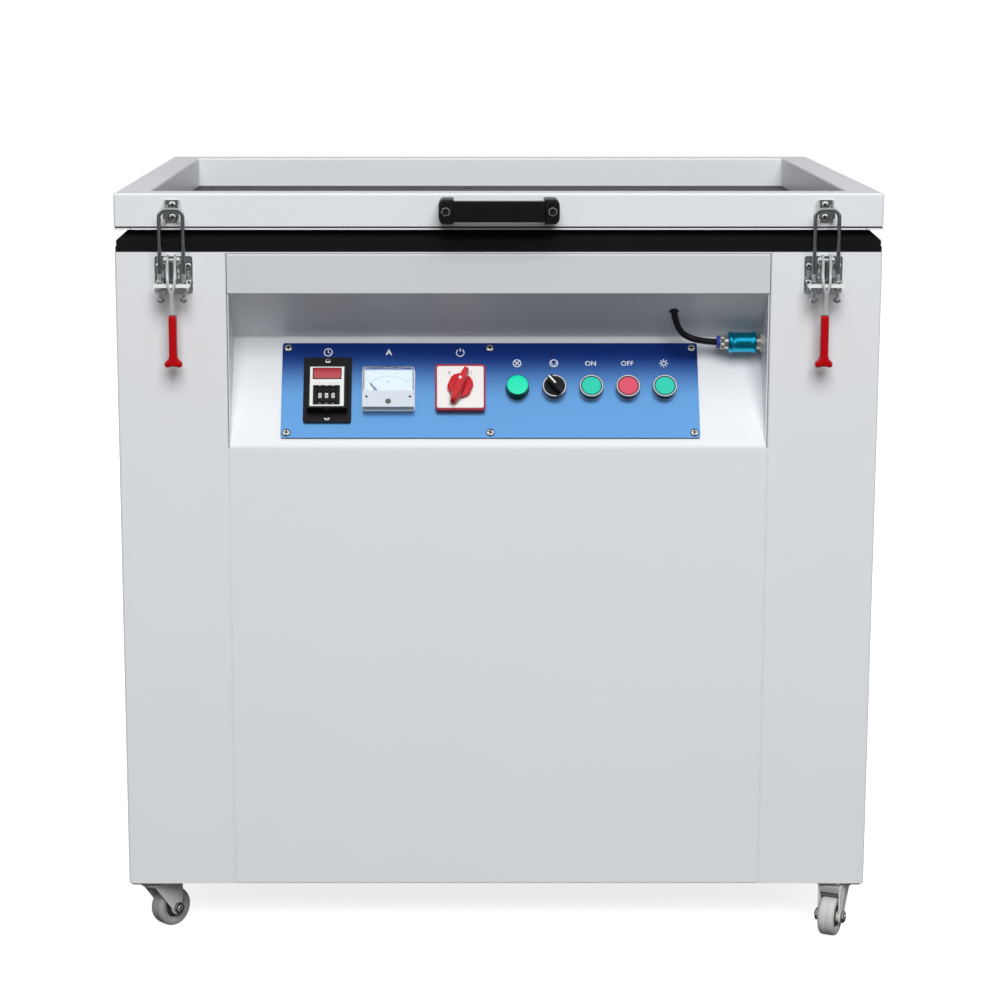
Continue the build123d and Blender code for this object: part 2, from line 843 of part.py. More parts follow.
def hinge_leaves(cabinet_side):
    """The two leaves that screw to the cabinet, or the two that screw to the lid."""
    if cabinet_side:
        leaf_low = hinge_z - leaf_drop
        leaf_high = cabinet_top - leaf_margin
        web_root = leaf_high - leaf_margin
        knuckle_starts = [-knuckle_length / 2]
        knuckle_run = knuckle_length
    else:
        leaf_low = clamp_level + leaf_margin
        leaf_high = lid_top - 2 * leaf_margin
        web_root = leaf_low + leaf_margin
        knuckle_starts = [-hinge_length / 2, knuckle_length / 2 + fit_clearance]
        knuckle_run = knuckle_length - fit_clearance
    with BuildPart() as leaves:
        for centre in hinge_centres:
            with BuildSketch(section(centre - hinge_length / 2)):
                with Locations((back, leaf_low)):
                    Rectangle(leaf_thickness, leaf_high - leaf_low, align=(Align.MIN, Align.MIN))
            extrude(amount=hinge_length)
            # knuckles, each with a web from its leaf
            for start in knuckle_starts:
                with BuildSketch(section(centre + start)):
                    with Locations((hinge_y, hinge_z)):
                        Circle(knuckle_radius)
                    with BuildLine():
                        Polyline(
                            (back, web_root),
                            (back + leaf_thickness, web_root),
                            (hinge_y, hinge_z),
                            (hinge_y - knuckle_radius, hinge_z),
                            (back, hinge_z + (web_root - hinge_z) * leaf_web),
                            close=True,
                        )
                    make_face()
                    with Locations((hinge_y, hinge_z)):
                        Circle(hinge_pin_radius, mode=Mode.SUBTRACT)
                extrude(amount=knuckle_run)
            if cabinet_side:
                # the pin is fast in the cabinet's knuckle
                with BuildSketch(section(centre - hinge_length / 2)):
                    with Locations((hinge_y, hinge_z)):
                        Circle(hinge_pin_radius - running_clearance)
                extrude(amount=hinge_length)
                with BuildSketch(section(centre - knuckle_length / 2)):
                    with Locations((hinge_y, hinge_z)):
                        Circle(hinge_pin_radius + hinge_pin_fit)
                extrude(amount=knuckle_length)
    return leaves


export(hinge_leaves(True), "cabinet_hinge_leaves")
export(hinge_leaves(False), "lid_hinge_leaves")

# ---------------------------------------------------------------- gas struts
strut_angle = degrees(atan2(strut_top[1] - strut_foot[1], strut_top[0] - strut_foot[0]))


def strut_part(side, pivot, turn, rod):
    """A strut's cylinder or rod, with its eye on a stud and its axis towards the other stud."""
    x = side * (half_width + strut_inset)
    eye_radius = strut_pin_radius + strut_eye_wall
    axis_plane = Plane(
        origin=(x, pivot[0], pivot[1]),
        x_dir=(1, 0, 0),
        z_dir=(0, cos(radians(turn)), sin(radians(turn))),
    )
    with BuildPart() as strut:
        with BuildSketch(section(x - strut_eye_width / 2)):
            with Locations(pivot):
                Circle(eye_radius)
        extrude(amount=strut_eye_width)
        if rod:
            with BuildSketch(axis_plane):
                Circle(strut_rod_radius)
            extrude(amount=strut_rod_length)
        else:
            with BuildSketch(axis_plane.offset(eye_radius - strut_neck)):
                Circle(strut_cylinder_radius)
            extrude(amount=strut_cylinder_length - eye_radius + strut_neck)
            with BuildSketch(axis_plane.offset(eye_radius + strut_bore_start)):
                Circle(strut_rod_radius + running_clearance)
            extrude(amount=strut_cylinder_length, mode=Mode.SUBTRACT)
        with BuildSketch(section(x - strut_eye_width / 2)):
            with Locations(pivot):
                Circle(strut_pin_radius + running_clearance)
        extrude(amount=strut_eye_width, mode=Mode.SUBTRACT)
    return strut


for side_name, side in sides.items():
    export(strut_part(side, strut_foot, strut_angle, rod=False), f"strut_cylinder_{side_name}")
    export(strut_part(side, strut_top, strut_angle + 180, rod=True), f"strut_rod_{side_name}")

# ---------------------------------------------------------------- toggle latches
def front_plane(reach):
    """Vertical plane facing the front, a reach ahead of the cabinet: its X is X, its Y is Z."""
    return Plane(origin=(0, front - reach, 0), x_dir=(1, 0, 0), z_dir=(0, -1, 0))


def latch_base(x):
    """A latch's screwed plate with two ears, and the pivot pin riveted through them."""
    plate_middle = latch_pivot_z - latch_plate_height / 2 + latch_plate_rise
    ear_low = latch_pivot_z - latch_plate_height + ear_foot
    ear_outer = ear_gap / 2 + ear_sheet
    with BuildPart() as base:
        with BuildSketch(front_plane(0)):
            with Locations((x, plate_middle)):
                RectangleRounded(latch_plate_width, latch_plate_height, latch_plate_corner)
        extrude(amount=latch_plate_thickness)
        for ear_x in (x - ear_outer, x + ear_gap / 2):
            with BuildSketch(section(ear_x)):
                Polygon(
                    (front, ear_low),
                    (front, latch_pivot_z + ear_nose / 2),
                    (latch_pivot_y, latch_pivot_z + ear_nose),
                    (latch_pivot_y, latch_pivot_z - ear_nose),
                    (front - ear_root, ear_low),
                    align=None,
                )
                with Locations((latch_pivot_y, latch_pivot_z)):
                    Circle(ear_nose)
            extrude(amount=ear_sheet)
        # the pin and its two heads
        for pin_x, radius, length in (
            (x - ear_outer, latch_pin_radius, 2 * ear_outer),
            (x - ear_outer - latch_pin_head, latch_pin_radius + latch_pin_head, latch_pin_head),
            (x + ear_outer, latch_pin_radius + latch_pin_head, latch_pin_head),
        ):
            with BuildSketch(section(pin_x)):
                with Locations((latch_pivot_y, latch_pivot_z)):
                    Circle(radius)
            extrude(amount=length)
        with BuildSketch(front_plane(latch_plate_thickness)):
            with Locations((x, plate_middle)):
                with GridLocations(latch_screw_spacing_x, latch_screw_spacing_z, 2, 2):
                    Circle(latch_screw_radius)
        extrude(amount=latch_screw_head)
    return base


def latch_lever(x):
    """Two plates that turn on the pivot pin and close to one blade inside the grip."""
    blade_end = latch_pivot_z - grip_drop - grip_length + grip_floor
    blade_half = blade_thickness / 2
    fork_high = trunnion_z - lever_eye
    fork_low = fork_high - lever_crotch
    inner = lever_gap / 2
    outer = inner + lever_sheet
    with BuildPart() as lever:
        # the outline from the side
        with BuildSketch(section(x - outer)):
            with Locations((latch_pivot_y, latch_pivot_z)):
                Circle(lever_eye)
            with Locations((trunnion_y, trunnion_z)):
                Circle(lever_eye)
            Polygon(
                (latch_pivot_y - lever_eye, latch_pivot_z),
                (latch_pivot_y + lever_eye, latch_pivot_z),
                (trunnion_y + lever_eye, trunnion_z),
                (trunnion_y + blade_depth / 2, fork_low),
                (trunnion_y + blade_depth / 2, blade_end),
                (trunnion_y - blade_depth / 2, blade_end),
                (trunnion_y - blade_depth / 2, fork_low),
                (trunnion_y - lever_eye, trunnion_z),
                align=None,
            )
        extrude(amount=2 * outer)
        # the outline from the front: a fork that closes to a blade
        with BuildSketch(front_plane(0)):
            Polygon(
                (x - outer, latch_pivot_z + lever_eye),
                (x - outer, fork_high),
                (x - blade_half, fork_low),
                (x - blade_half, blade_end),
                (x + blade_half, blade_end),
                (x + blade_half, fork_low),
                (x + outer, fork_high),
                (x + outer, latch_pivot_z + lever_eye),
                (x + inner, latch_pivot_z + lever_eye),
                (x + inner, fork_high),
                (x, fork_low + lever_sheet),
                (x - inner, fork_high),
                (x - inner, latch_pivot_z + lever_eye),
                align=None,
            )
        extrude(amount=latch_bar_reach + 2 * lever_eye, mode=Mode.INTERSECT)
        with BuildSketch(section(x - outer)):
            with Locations((latch_pivot_y, latch_pivot_z)):
                Circle(latch_pin_radius + running_clearance)
            with Locations((trunnion_y, trunnion_z)):
                Circle(journal_radius + running_clearance)
        extrude(amount=2 * outer, mode=Mode.SUBTRACT)
    return lever


def latch_grip(x):
    """The dipped vinyl grip, with a socket for the blade and a flared two-lobed end."""
    top = latch_pivot_z - grip_drop
    bottom = top - grip_length
    half = grip_width / 2
    lobe = grip_flare / 2
    neck = bottom + grip_flare_height + half
    with BuildPart() as grip:
        with BuildSketch(front_plane(latch_bar_reach - grip_depth / 2)):
            with BuildLine():
                FilletPolyline(
                    (x - half, top),
                    (x - half, neck),
                    (x - lobe, bottom + grip_flare_height * 0.8),
                    (x - lobe + grip_round, bottom),
                    (x, bottom + grip_round),
                    (x + lobe - grip_round, bottom),
                    (x + lobe, bottom + grip_flare_height * 0.8),
                    (x + half, neck),
                    (x + half, top),
                    radius=[5, 2.5, 2.5, 4, 2.5, 2.5, 5],
                )
                Line((x + half, top), (x - half, top))
            make_face()
        extrude(amount=grip_depth)
        fillet(grip.faces().filter_by(Axis.Y).edges(), grip_round)
        with BuildSketch(plan(top)):
            with Locations((x, trunnion_y)):
                Rectangle(blade_thickness + blade_clearance, blade_depth + blade_clearance)
        extrude(amount=-(grip_length - grip_floor + fit_clearance), mode=Mode.SUBTRACT)
    return grip


def latch_bail(x):
    """The threaded U-bolt, its nuts, and the cross plate that turns in the lever."""
    leg = (bail_width - bail_rod) / 2
    low = trunnion_z - bail_tail
    cross_low = trunnion_z - cross_plate / 2
    journal_half = lever_gap / 2 + lever_sheet + fit_clearance
    with BuildPart() as bail:
        with BuildLine():
            bend = FilletPolyline(
                (x - leg, trunnion_y, low),
                (x - leg, trunnion_y, latch_bar_z),
                (x + leg, trunnion_y, latch_bar_z),
                (x + leg, trunnion_y, low),
                radius=bail_corner,
            )
        with BuildSketch(Plane(origin=(x - leg, trunnion_y, low), z_dir=(0, 0, 1))):
            Circle(bail_rod / 2)
        sweep(path=bend)
        # cross plate, cut away where the lever's plates swing, and the journal between its halves
        with BuildSketch(plan(cross_low)):
            with Locations((x, trunnion_y)):
                Rectangle(cross_plate_width, cross_plate_depth)
                Rectangle(2 * journal_half, cross_plate_depth, mode=Mode.SUBTRACT)
        extrude(amount=cross_plate)
        with BuildSketch(section(x - journal_half - journal_root)):
            with Locations((trunnion_y, trunnion_z)):
                Circle(journal_radius)
        extrude(amount=2 * (journal_half + journal_root))
        for nut_low in (cross_low + cross_plate, cross_low - nut_height, low + nut_inset):
            with BuildSketch(plan(nut_low)):
                with Locations((x - leg, trunnion_y), (x + leg, trunnion_y)):
                    RegularPolygon(nut_flats / 2, 6, major_radius=False)
            extrude(amount=nut_height)
    return bail


for side_name, side in sides.items():
    latch_x = side * latch_spacing / 2
    export(latch_base(latch_x), f"latch_base_{side_name}")
    export(latch_lever(latch_x), f"latch_lever_{side_name}")
    export(latch_grip(latch_x), f"latch_grip_{side_name}")
    export(latch_bail(latch_x), f"latch_bail_{side_name}")

with BuildPart() as latch_catches:
    catch_low = frame_level + catch_rise
    catch_high = catch_low + catch_height
    catch_reach = latch_bar_reach - bail_rod / 2 - 2 * fit_clearance
    catch_nose = front - catch_reach
    # the hook's floor lies a rod's radius and a little room under the bar
    hook_floor = latch_bar_z - bail_rod / 2 - catch_base / 2
    hook_radius = hook_gap / 2
    hook_y = catch_nose + hook_offset
    for side in sides.values():
        catch_x = side * latch_spacing / 2
        with BuildSketch(front_plane(0)):
            with Locations((catch_x, catch_low + catch_height / 2)):
                Rectangle(catch_width, catch_height)
        extrude(amount=catch_base)
        for ear_x in (catch_x - catch_width / 2, catch_x + catch_width / 2 - catch_base):
            # a hook that opens upwards: the bar drops into it behind the horn
            with BuildSketch(section(ear_x)):
                Polygon(
                    (front, catch_low),
                    (catch_nose + hook_gap, catch_low),
                    (catch_nose, catch_low + hook_gap),
                    (catch_nose, hook_floor + hook_radius),
                    (catch_nose + catch_base, hook_floor + hook_radius + catch_base),
                    (hook_y - hook_radius, hook_floor + hook_radius),
                    (hook_y + hook_radius, hook_floor + hook_radius),
                    (hook_y + hook_radius + catch_base, catch_high),
                    (front, catch_high),
                    align=None,
                )
                with Locations((hook_y, hook_floor + hook_radius)):
                    Circle(hook_radius, mode=Mode.SUBTRACT)
            extrude(amount=catch_base)
        with BuildSketch(front_plane(catch_base)):
            with Locations(
                (catch_x, catch_low + catch_screw_inset),
                (catch_x, catch_high - catch_screw_inset),
            ):
                Circle(catch_screw_radius)
        extrude(amount=catch_screw_head)
export(latch_catches, "latch_catches")

# ---------------------------------------------------------------- casters
caster_places = {}
for place, turn in caster_turns.items():
    end_name, side_name = place.split("_")
    x = sides[side_name] * (half_width - caster_inset)
    y = front + caster_inset if end_name == "front" else back - caster_inset
    caster_places[place] = (x, y, turn)
crown_top = caster_height - caster_plate_thickness - fit_clearance
crown_low = crown_top - crown_height
wheel_radius = wheel_diameter / 2
fork_half = wheel_width / 2 + fork_gap
axle_half = fork_half + fork_sheet + axle_nut_height + axle_tip

with BuildPart() as caster_plates:
    for x, y, turn in caster_places.values():
        with BuildSketch(plan(caster_height)):
            with Locations((x, y)):
                RectangleRounded(caster_plate_size, caster_plate_size, caster_plate_corner)
                with GridLocations(caster_bolt_spacing, caster_bolt_spacing, 2, 2):
                    Circle(caster_bolt_radius, mode=Mode.SUBTRACT)
        extrude(amount=-caster_plate_thickness)
        # the king pin and its head under the crown
        with BuildSketch(plan(caster_height - caster_plate_thickness)):
            with Locations((x, y)):
                Circle(king_pin_radius)
        extrude(amount=-(crown_height + 2 * fit_clearance))
        with BuildSketch(plan(crown_low - fit_clearance)):
            with Locations((x, y)):
                Circle(king_pin_radius + king_pin_head)
        extrude(amount=-king_pin_head)
export(caster_plates, "caster_plates")


def caster_plane(x, y, turn):
    """The ground under a caster, its X axis pointing to where the wheel trails."""
    return Plane(
        origin=(x, y, 0),
        x_dir=(cos(radians(turn)), sin(radians(turn)), 0),
        z_dir=(0, 0, 1),
    )


def caster_fork(x, y, turn):
    """A swivelling crown with two legs that carry the axle behind the swivel's centre."""
    base = caster_plane(x, y, turn)
    side_plane = Plane(origin=base.origin, x_dir=base.x_dir, z_dir=-base.y_dir)
    axle = (caster_trail, wheel_radius)
    leg_half = crown_radius - crown_edge
    with BuildPart() as fork:
        with BuildSketch(base.offset(crown_low)):
            Circle(crown_radius)
        extrude(amount=crown_height)
        chamfer(fork.edges().group_by(Axis.Z)[0], crown_edge)
        for start in (fork_half, -fork_half - fork_sheet):
            leg_start = start if start > 0 else start + fork_sheet
            leg_root = (leg_half**2 - leg_start**2) ** 0.5
            with BuildSketch(side_plane.offset(start)):
                Polygon(
                    (-leg_root, crown_low + crown_edge),
                    (leg_root, crown_low + crown_edge),
                    (caster_trail + fork_eye, wheel_radius),
                    (caster_trail - fork_eye, wheel_radius),
                    align=None,
                )
                with Locations(axle):
                    Circle(fork_eye)
            extrude(amount=fork_sheet)
        with BuildSketch(side_plane.offset(-axle_half)):
            with Locations(axle):
                Circle(axle_radius)
        extrude(amount=2 * axle_half)
        for nut_start in (fork_half + fork_sheet, -fork_half - fork_sheet - axle_nut_height):
            with BuildSketch(side_plane.offset(nut_start)):
                with Locations(axle):
                    RegularPolygon(axle_nut_flats / 2, 6, major_radius=False)
            extrude(amount=axle_nut_height)
        with BuildSketch(base.offset(crown_low)):
            Circle(king_pin_radius + running_clearance)
        extrude(amount=crown_height, mode=Mode.SUBTRACT)
    return fork


def caster_wheel(x, y, turn):
    """A rubber-tyred wheel on the fork's axle, turned about it from half a section."""
    base = caster_plane(x, y, turn)
    centre = base.from_local_coords((caster_trail, 0, wheel_radius))
    wheel_plane = Plane(origin=centre, x_dir=base.y_dir, z_dir=-base.x_dir)
    bore = axle_radius + running_clearance
    half = wheel_width / 2
    dish = half - wheel_dish
    boss = half + hub_boss
    edge = half - wheel_corner
    with BuildPart() as wheel:
        with BuildSketch(wheel_plane):
            Polygon(
                (-boss, bore),
                (-boss, hub_radius),
                (-dish, hub_radius),
                (-dish, wheel_radius - tyre_depth),
                (-half, wheel_radius - tyre_depth),
                (-half, wheel_radius - wheel_corner),
                (-edge, wheel_radius),
                (edge, wheel_radius),
                (half, wheel_radius - wheel_corner),
                (half, wheel_radius - tyre_depth),
                (dish, wheel_radius - tyre_depth),
                (dish, hub_radius),
                (boss, hub_radius),
                (boss, bore),
                align=None,
            )
        revolve(axis=Axis(centre, base.y_dir))
    return wheel


for place, (x, y, turn) in caster_places.items():
    export(caster_fork(x, y, turn), f"caster_fork_{place}")
    export(caster_wheel(x, y, turn), f"caster_wheel_{place}")

# ---------------------------------------------------------------- control panel
screw_reach_u = panel_width / 2 - panel_screw_inset
screw_reach_v = panel_height / 2 - panel_screw_inset

with BuildPart() as control_panel:
    with BuildSketch(slope_plane):
        with Locations(panel_middle):
            RectangleRounded(panel_width, panel_height, panel_corner)
        add(instrument_holes.sketch_local, mode=Mode.SUBTRACT)
    extrude(amount=panel_thickness)
export(control_panel, "control_panel")

with BuildPart() as panel_screws:
    with BuildSketch(face_plane):
        with Locations(panel_middle):
            with GridLocations(screw_reach_u, 2 * screw_reach_v, 3, 2):
                Circle(panel_screw_radius)
    extrude(amount=panel_screw_head)
    chamfer(panel_screws.faces().sort_by(face_axis)[-6:].edges(), panel_screw_edge)
export(panel_screws, "panel_screws")

timer_u, timer_v = timer_place
timer_face = (timer_u, timer_v - timer_drop)
rocker_columns = [timer_u + rocker_shift + step * rocker_pitch for step in (-1, 0, 1)]
rocker_middle = timer_face[1] - rocker_drop
rocker_pivot_reach = timer_reach - rocker_pin_sink

with BuildPart() as timer_housing:
    with BuildSketch(face_plane):
        with Locations(timer_place):
            RectangleRounded(timer_bezel_width, timer_bezel_height, timer_bezel_corner)
    extrude(amount=timer_bezel_reach)
    with BuildSketch(face_plane.offset(timer_bezel_reach)):
        with Locations(timer_face):
            RectangleRounded(timer_width, timer_height, timer_corner)
    extrude(amount=timer_reach - timer_bezel_reach, taper=timer_draft)
    # the body behind the panel
    with BuildSketch(face_plane):
        with Locations(timer_place):
            Rectangle(timer_body_width, timer_body_height)
    extrude(amount=-timer_body_depth)
    # a shallow window for the display, and a slot for each rocker
    with BuildSketch(face_plane.offset(timer_reach)):
        with Locations((timer_u, timer_face[1] + timer_window_rise)):
            Rectangle(timer_window_width, timer_window_height)
    extrude(amount=-timer_window_sink, mode=Mode.SUBTRACT)
    with BuildSketch(face_plane.offset(timer_reach)):
        with Locations([(u, rocker_middle) for u in rocker_columns]):
            Rectangle(rocker_width + 2 * fit_clearance, rocker_length + 2 * rocker_swing_room)
    extrude(amount=-rocker_pocket, mode=Mode.SUBTRACT)
    # the bore that carries the rockers' pivot pins
    pin_run = 2 * rocker_pitch + rocker_width + 2 * rocker_pin_length
    pin_start = face_plane.from_local_coords(
        (timer_u + rocker_shift - pin_run / 2, rocker_middle, rocker_pivot_reach)
    )
    with BuildSketch(Plane(origin=pin_start, x_dir=face_plane.y_dir, z_dir=face_plane.x_dir)):
        Circle(rocker_pin_radius + running_clearance)
    extrude(amount=pin_run, mode=Mode.SUBTRACT)
export(timer_housing, "timer_housing")


def timer_rocker(u):
    """A key pair that rocks about its middle, a bump above and a bump below the digit."""
    key_plane = Plane(
        origin=face_plane.from_local_coords((u - rocker_width / 2, rocker_middle, rocker_pivot_reach)),
        x_dir=face_plane.y_dir,
        z_dir=face_plane.x_dir,
    )
    half = rocker_length / 2
    key_root = half - rocker_key_length - rocker_bevel
    key_top = half - rocker_key_length
    with BuildPart() as rocker:
        with BuildSketch(key_plane):
            Polygon(
                (-half, -rocker_underside),
                (half, -rocker_underside),
                (half, rocker_key_rise - rocker_bevel),
                (half - rocker_bevel, rocker_key_rise),
                (key_top, rocker_key_rise),
                (key_root, rocker_floor_rise),
                (-key_root, rocker_floor_rise),
                (-key_top, rocker_key_rise),
                (-half + rocker_bevel, rocker_key_rise),
                (-half, rocker_key_rise - rocker_bevel),
                align=None,
            )
        extrude(amount=rocker_width)
        with BuildSketch(key_plane.offset(-rocker_pin_length)):
            Circle(rocker_pin_radius)
        extrude(amount=rocker_width + 2 * rocker_pin_length)
    return rocker


for number, u in enumerate(rocker_columns, 1):
    export(timer_rocker(u), f"timer_rocker_{number}")

ammeter_u, ammeter_v = ammeter_place
ammeter_low = ammeter_v - ammeter_height / 2
needle_pivot = (ammeter_u, ammeter_low + needle_pivot_rise)
dial_reach = ammeter_flange + dial_thickness
cover_width = ammeter_width - 2 * ammeter_rim
window_low = ammeter_low + ammeter_rim + ammeter_front_height
window_height = ammeter_height - 2 * ammeter_rim - ammeter_front_height
cavity_width = cover_width - 2 * ammeter_window_wall
cavity_height = window_height - ammeter_window_wall

with BuildPart() as ammeter_case:
    with BuildSketch(face_plane):
        with Locations(ammeter_place):
            RectangleRounded(ammeter_width, ammeter_height, ammeter_corner)
    extrude(amount=ammeter_flange)
    with BuildSketch(face_plane):
        with Locations(ammeter_place):
            Circle(ammeter_barrel_radius)
    extrude(amount=-ammeter_barrel_depth)
    # the dial plate, and the opaque lower half of the front
    with BuildSketch(face_plane.offset(ammeter_flange)):
        with Locations((ammeter_u, window_low)):
            Rectangle(
                cavity_width - 2 * fit_clearance,
                cavity_height - fit_clearance,
                align=(Align.CENTER, Align.MIN),
            )
    extrude(amount=dial_thickness)
    with BuildSketch(face_plane.offset(ammeter_flange)):
        with Locations((ammeter_u, ammeter_low + ammeter_rim)):
            Rectangle(cover_width, ammeter_front_height, align=(Align.CENTER, Align.MIN))
    extrude(amount=ammeter_reach - ammeter_flange)
    # a fan-shaped well in the lower front that the needle turns in
    with BuildSketch(face_plane.offset(dial_reach + needle_gap / 2)):
        with Locations(needle_pivot):
            Circle(needle_length + needle_margin)
        with Locations((ammeter_u, needle_pivot[1] - needle_hub_radius - needle_margin)):
            Rectangle(
                cavity_width,
                ammeter_height,
                align=(Align.CENTER, Align.MIN),
                mode=Mode.INTERSECT,
            )
    extrude(amount=needle_room, mode=Mode.SUBTRACT)
export(ammeter_case, "ammeter_case")

with BuildPart() as ammeter_cover:
    with BuildSketch(face_plane.offset(ammeter_flange)):
        with Locations((ammeter_u, window_low)):
            Rectangle(cover_width, window_height, align=(Align.CENTER, Align.MIN))
    extrude(amount=ammeter_reach - ammeter_flange)
    with BuildSketch(face_plane.offset(ammeter_flange)):
        with Locations((ammeter_u, window_low)):
            Rectangle(cavity_width, cavity_height, align=(Align.CENTER, Align.MIN))
    extrude(amount=ammeter_reach - ammeter_flange - ammeter_window_wall, mode=Mode.SUBTRACT)
export(ammeter_cover, "ammeter_cover")

with BuildPart() as ammeter_needle:
    # at rest the needle points to zero at the left end of the scale
    with BuildSketch(face_plane.offset(dial_reach + needle_gap)):
        with Locations(needle_pivot):
            Circle(needle_hub_radius)
            with Locations(Location((0, 0, 0), (0, 0, needle_angle))):
                Rectangle(needle_length, needle_width, align=(Align.MIN, Align.CENTER))
    extrude(amount=needle_thickness)
export(ammeter_needle, "ammeter_needle")

with BuildPart() as cam_switch_body:
    with BuildSketch(face_plane):
        with Locations(cam_switch_place):
            RectangleRounded(cam_switch_size, cam_switch_size, cam_switch_corner)
    extrude(amount=cam_switch_plate_reach)
    with BuildSketch(face_plane):
        with Locations(cam_switch_place):
            Circle(cam_switch_neck_radius)
    extrude(amount=-(panel_thickness + sheet))
    with BuildSketch(slope_plane.offset(-sheet)):
        with Locations(cam_switch_place):
            Rectangle(cam_switch_block, cam_switch_block)
    extrude(amount=-cam_switch_block_depth)
    with BuildSketch(face_plane.offset(cam_switch_plate_reach)):
        with Locations(cam_switch_place):
            Circle(cam_shaft_radius)
    extrude(amount=cam_shaft_length)
export(cam_switch_body, "cam_switch_body")

with BuildPart() as cam_switch_knob:
    knob_base = cam_switch_plate_reach + fit_clearance
    lever_tip = cam_lever_length / 2
    with BuildSketch(face_plane.offset(knob_base)):
        with Locations(cam_switch_place):
            Circle(cam_knob_radius)
    extrude(amount=cam_knob_disc, taper=cam_knob_draft)
    with BuildSketch(face_plane.offset(knob_base)):
        with Locations(cam_switch_place):
            Polygon(
                (-lever_tip, -cam_lever_end),
                (0, -cam_lever_middle),
                (lever_tip, -cam_lever_end),
                (lever_tip, cam_lever_end),
                (0, cam_lever_middle),
                (-lever_tip, cam_lever_end),
                rotation=cam_knob_angle,
                align=None,
            )
    extrude(amount=cam_knob_reach - knob_base, taper=cam_knob_draft)
    with BuildSketch(face_plane.offset(knob_base)):
        with Locations(cam_switch_place):
            Circle(cam_shaft_radius + running_clearance)
    extrude(amount=cam_shaft_length, mode=Mode.SUBTRACT)
export(cam_switch_knob, "cam_switch_knob")

indicator_place, selector_place, on_place, off_place, expose_place = operator_places

with BuildPart() as operator_rings:
    for operator_place in operator_places:
        with BuildSketch(face_plane):
            with Locations(operator_place):
                Circle(barrel_radius)
        extrude(amount=-barrel_depth)
        with BuildSketch(face_plane.offset(-barrel_depth)):
            with Locations(operator_place):
                Rectangle(contact_block, contact_block)
        extrude(amount=-contact_block_depth)
        # the indicator's lens covers its mount, so it has no ring
        if operator_place != indicator_place:
            with BuildSketch(face_plane):
                with Locations(operator_place):
                    Circle(operator_ring_radius)
            extrude(amount=operator_ring_reach)
            with BuildSketch(face_plane.offset(operator_ring_reach)):
                with Locations(operator_place):
                    Circle(cap_radius + fit_clearance)
            extrude(amount=operator_floor - operator_ring_reach, mode=Mode.SUBTRACT)
        with BuildSketch(face_plane.offset(operator_floor)):
            with Locations(operator_place):
                Circle(stem_radius + running_clearance)
        extrude(amount=-stem_bore_depth, mode=Mode.SUBTRACT)
export(operator_rings, "operator_rings")


def push_button(operator_place):
    """A flat cap on a stem that slides in its ring."""
    cap_low = operator_floor + button_travel + fit_clearance
    with BuildPart() as button:
        with BuildSketch(face_plane.offset(cap_low)):
            with Locations(operator_place):
                Circle(cap_radius)
        extrude(amount=cap_reach - cap_low)
        chamfer(button.faces().sort_by(face_axis)[-1].edges(), cap_edge)
        with BuildSketch(face_plane.offset(cap_low)):
            with Locations(operator_place):
                Circle(stem_radius)
        extrude(amount=-stem_length)
    return button


export(push_button(on_place), "on_button")
export(push_button(off_place), "off_button")
export(push_button(expose_place), "expose_button")

with BuildPart() as indicator_lens:
    with BuildSketch(face_plane):
        with Locations(indicator_place):
            Circle(indicator_radius)
    extrude(amount=indicator_reach, taper=lens_draft)
    with BuildSketch(face_plane.offset(operator_floor)):
        with Locations(indicator_place):
            Circle(stem_radius)
    extrude(amount=-stem_length)
export(indicator_lens, "indicator_lens")

with BuildPart() as selector_knob:
    selector_low = operator_floor + fit_clearance
    with BuildSketch(face_plane.offset(selector_low)):
        with Locations(selector_place):
            Circle(cap_radius)
    extrude(amount=operator_ring_reach - selector_low)
    with BuildSketch(face_plane.offset(operator_ring_reach)):
        with Locations(selector_place):
            with Locations(Location((0, 0, 0), (0, 0, selector_angle))):
                SlotOverall(2 * cap_radius, selector_bar_width)
    extrude(amount=selector_reach - operator_ring_reach)
    with BuildSketch(face_plane.offset(selector_low)):
        with Locations(selector_place):
            Circle(stem_radius)
    extrude(amount=-stem_length)
export(selector_knob, "selector_knob")

# ---------------------------------------------------------------- vacuum valve and hose
valve_axis = (valve_y, valve_height)
sleeve_right = valve_sleeve_left + valve_sleeve_length
wall_x = fascia_half - sheet

with BuildPart() as valve_body:
    hexagon_left = sleeve_right + valve_travel + fit_clearance
    spool_left = valve_sleeve_left - valve_spool_end
    fitting_left = valve_sleeve_left - valve_fitting_length
    collar_right = fitting_left + valve_collar_length
    # spool, threaded tail through the cheek, push-in fitting and its release collar
    for x, radius, length in (
        (spool_left, valve_spool_radius, wall_x - spool_left),
        (wall_x, valve_tail_radius, sheet + valve_tail_length),
        (collar_right, valve_fitting_radius, spool_left - collar_right),
        (fitting_left, valve_collar_radius, valve_collar_length),
    ):
        with BuildSketch(section(x)):
            with Locations(valve_axis):
                Circle(radius)
        extrude(amount=length)
    # a hexagon each side of the cheek clamps the valve to it
    for x, across_flats, length in (
        (hexagon_left, valve_hexagon, wall_x - hexagon_left),
        (wall_x + sheet, valve_nut, valve_nut_thickness),
    ):
        with BuildSketch(section(x)):
            with Locations(valve_axis):
                RegularPolygon(across_flats / 2, 6, major_radius=False)
        extrude(amount=length)
    with BuildSketch(section(fitting_left)):
        with Locations(valve_axis):
            Circle(hose_radius)
    extrude(amount=valve_socket_depth, mode=Mode.SUBTRACT)
export(valve_body, "valve_body")

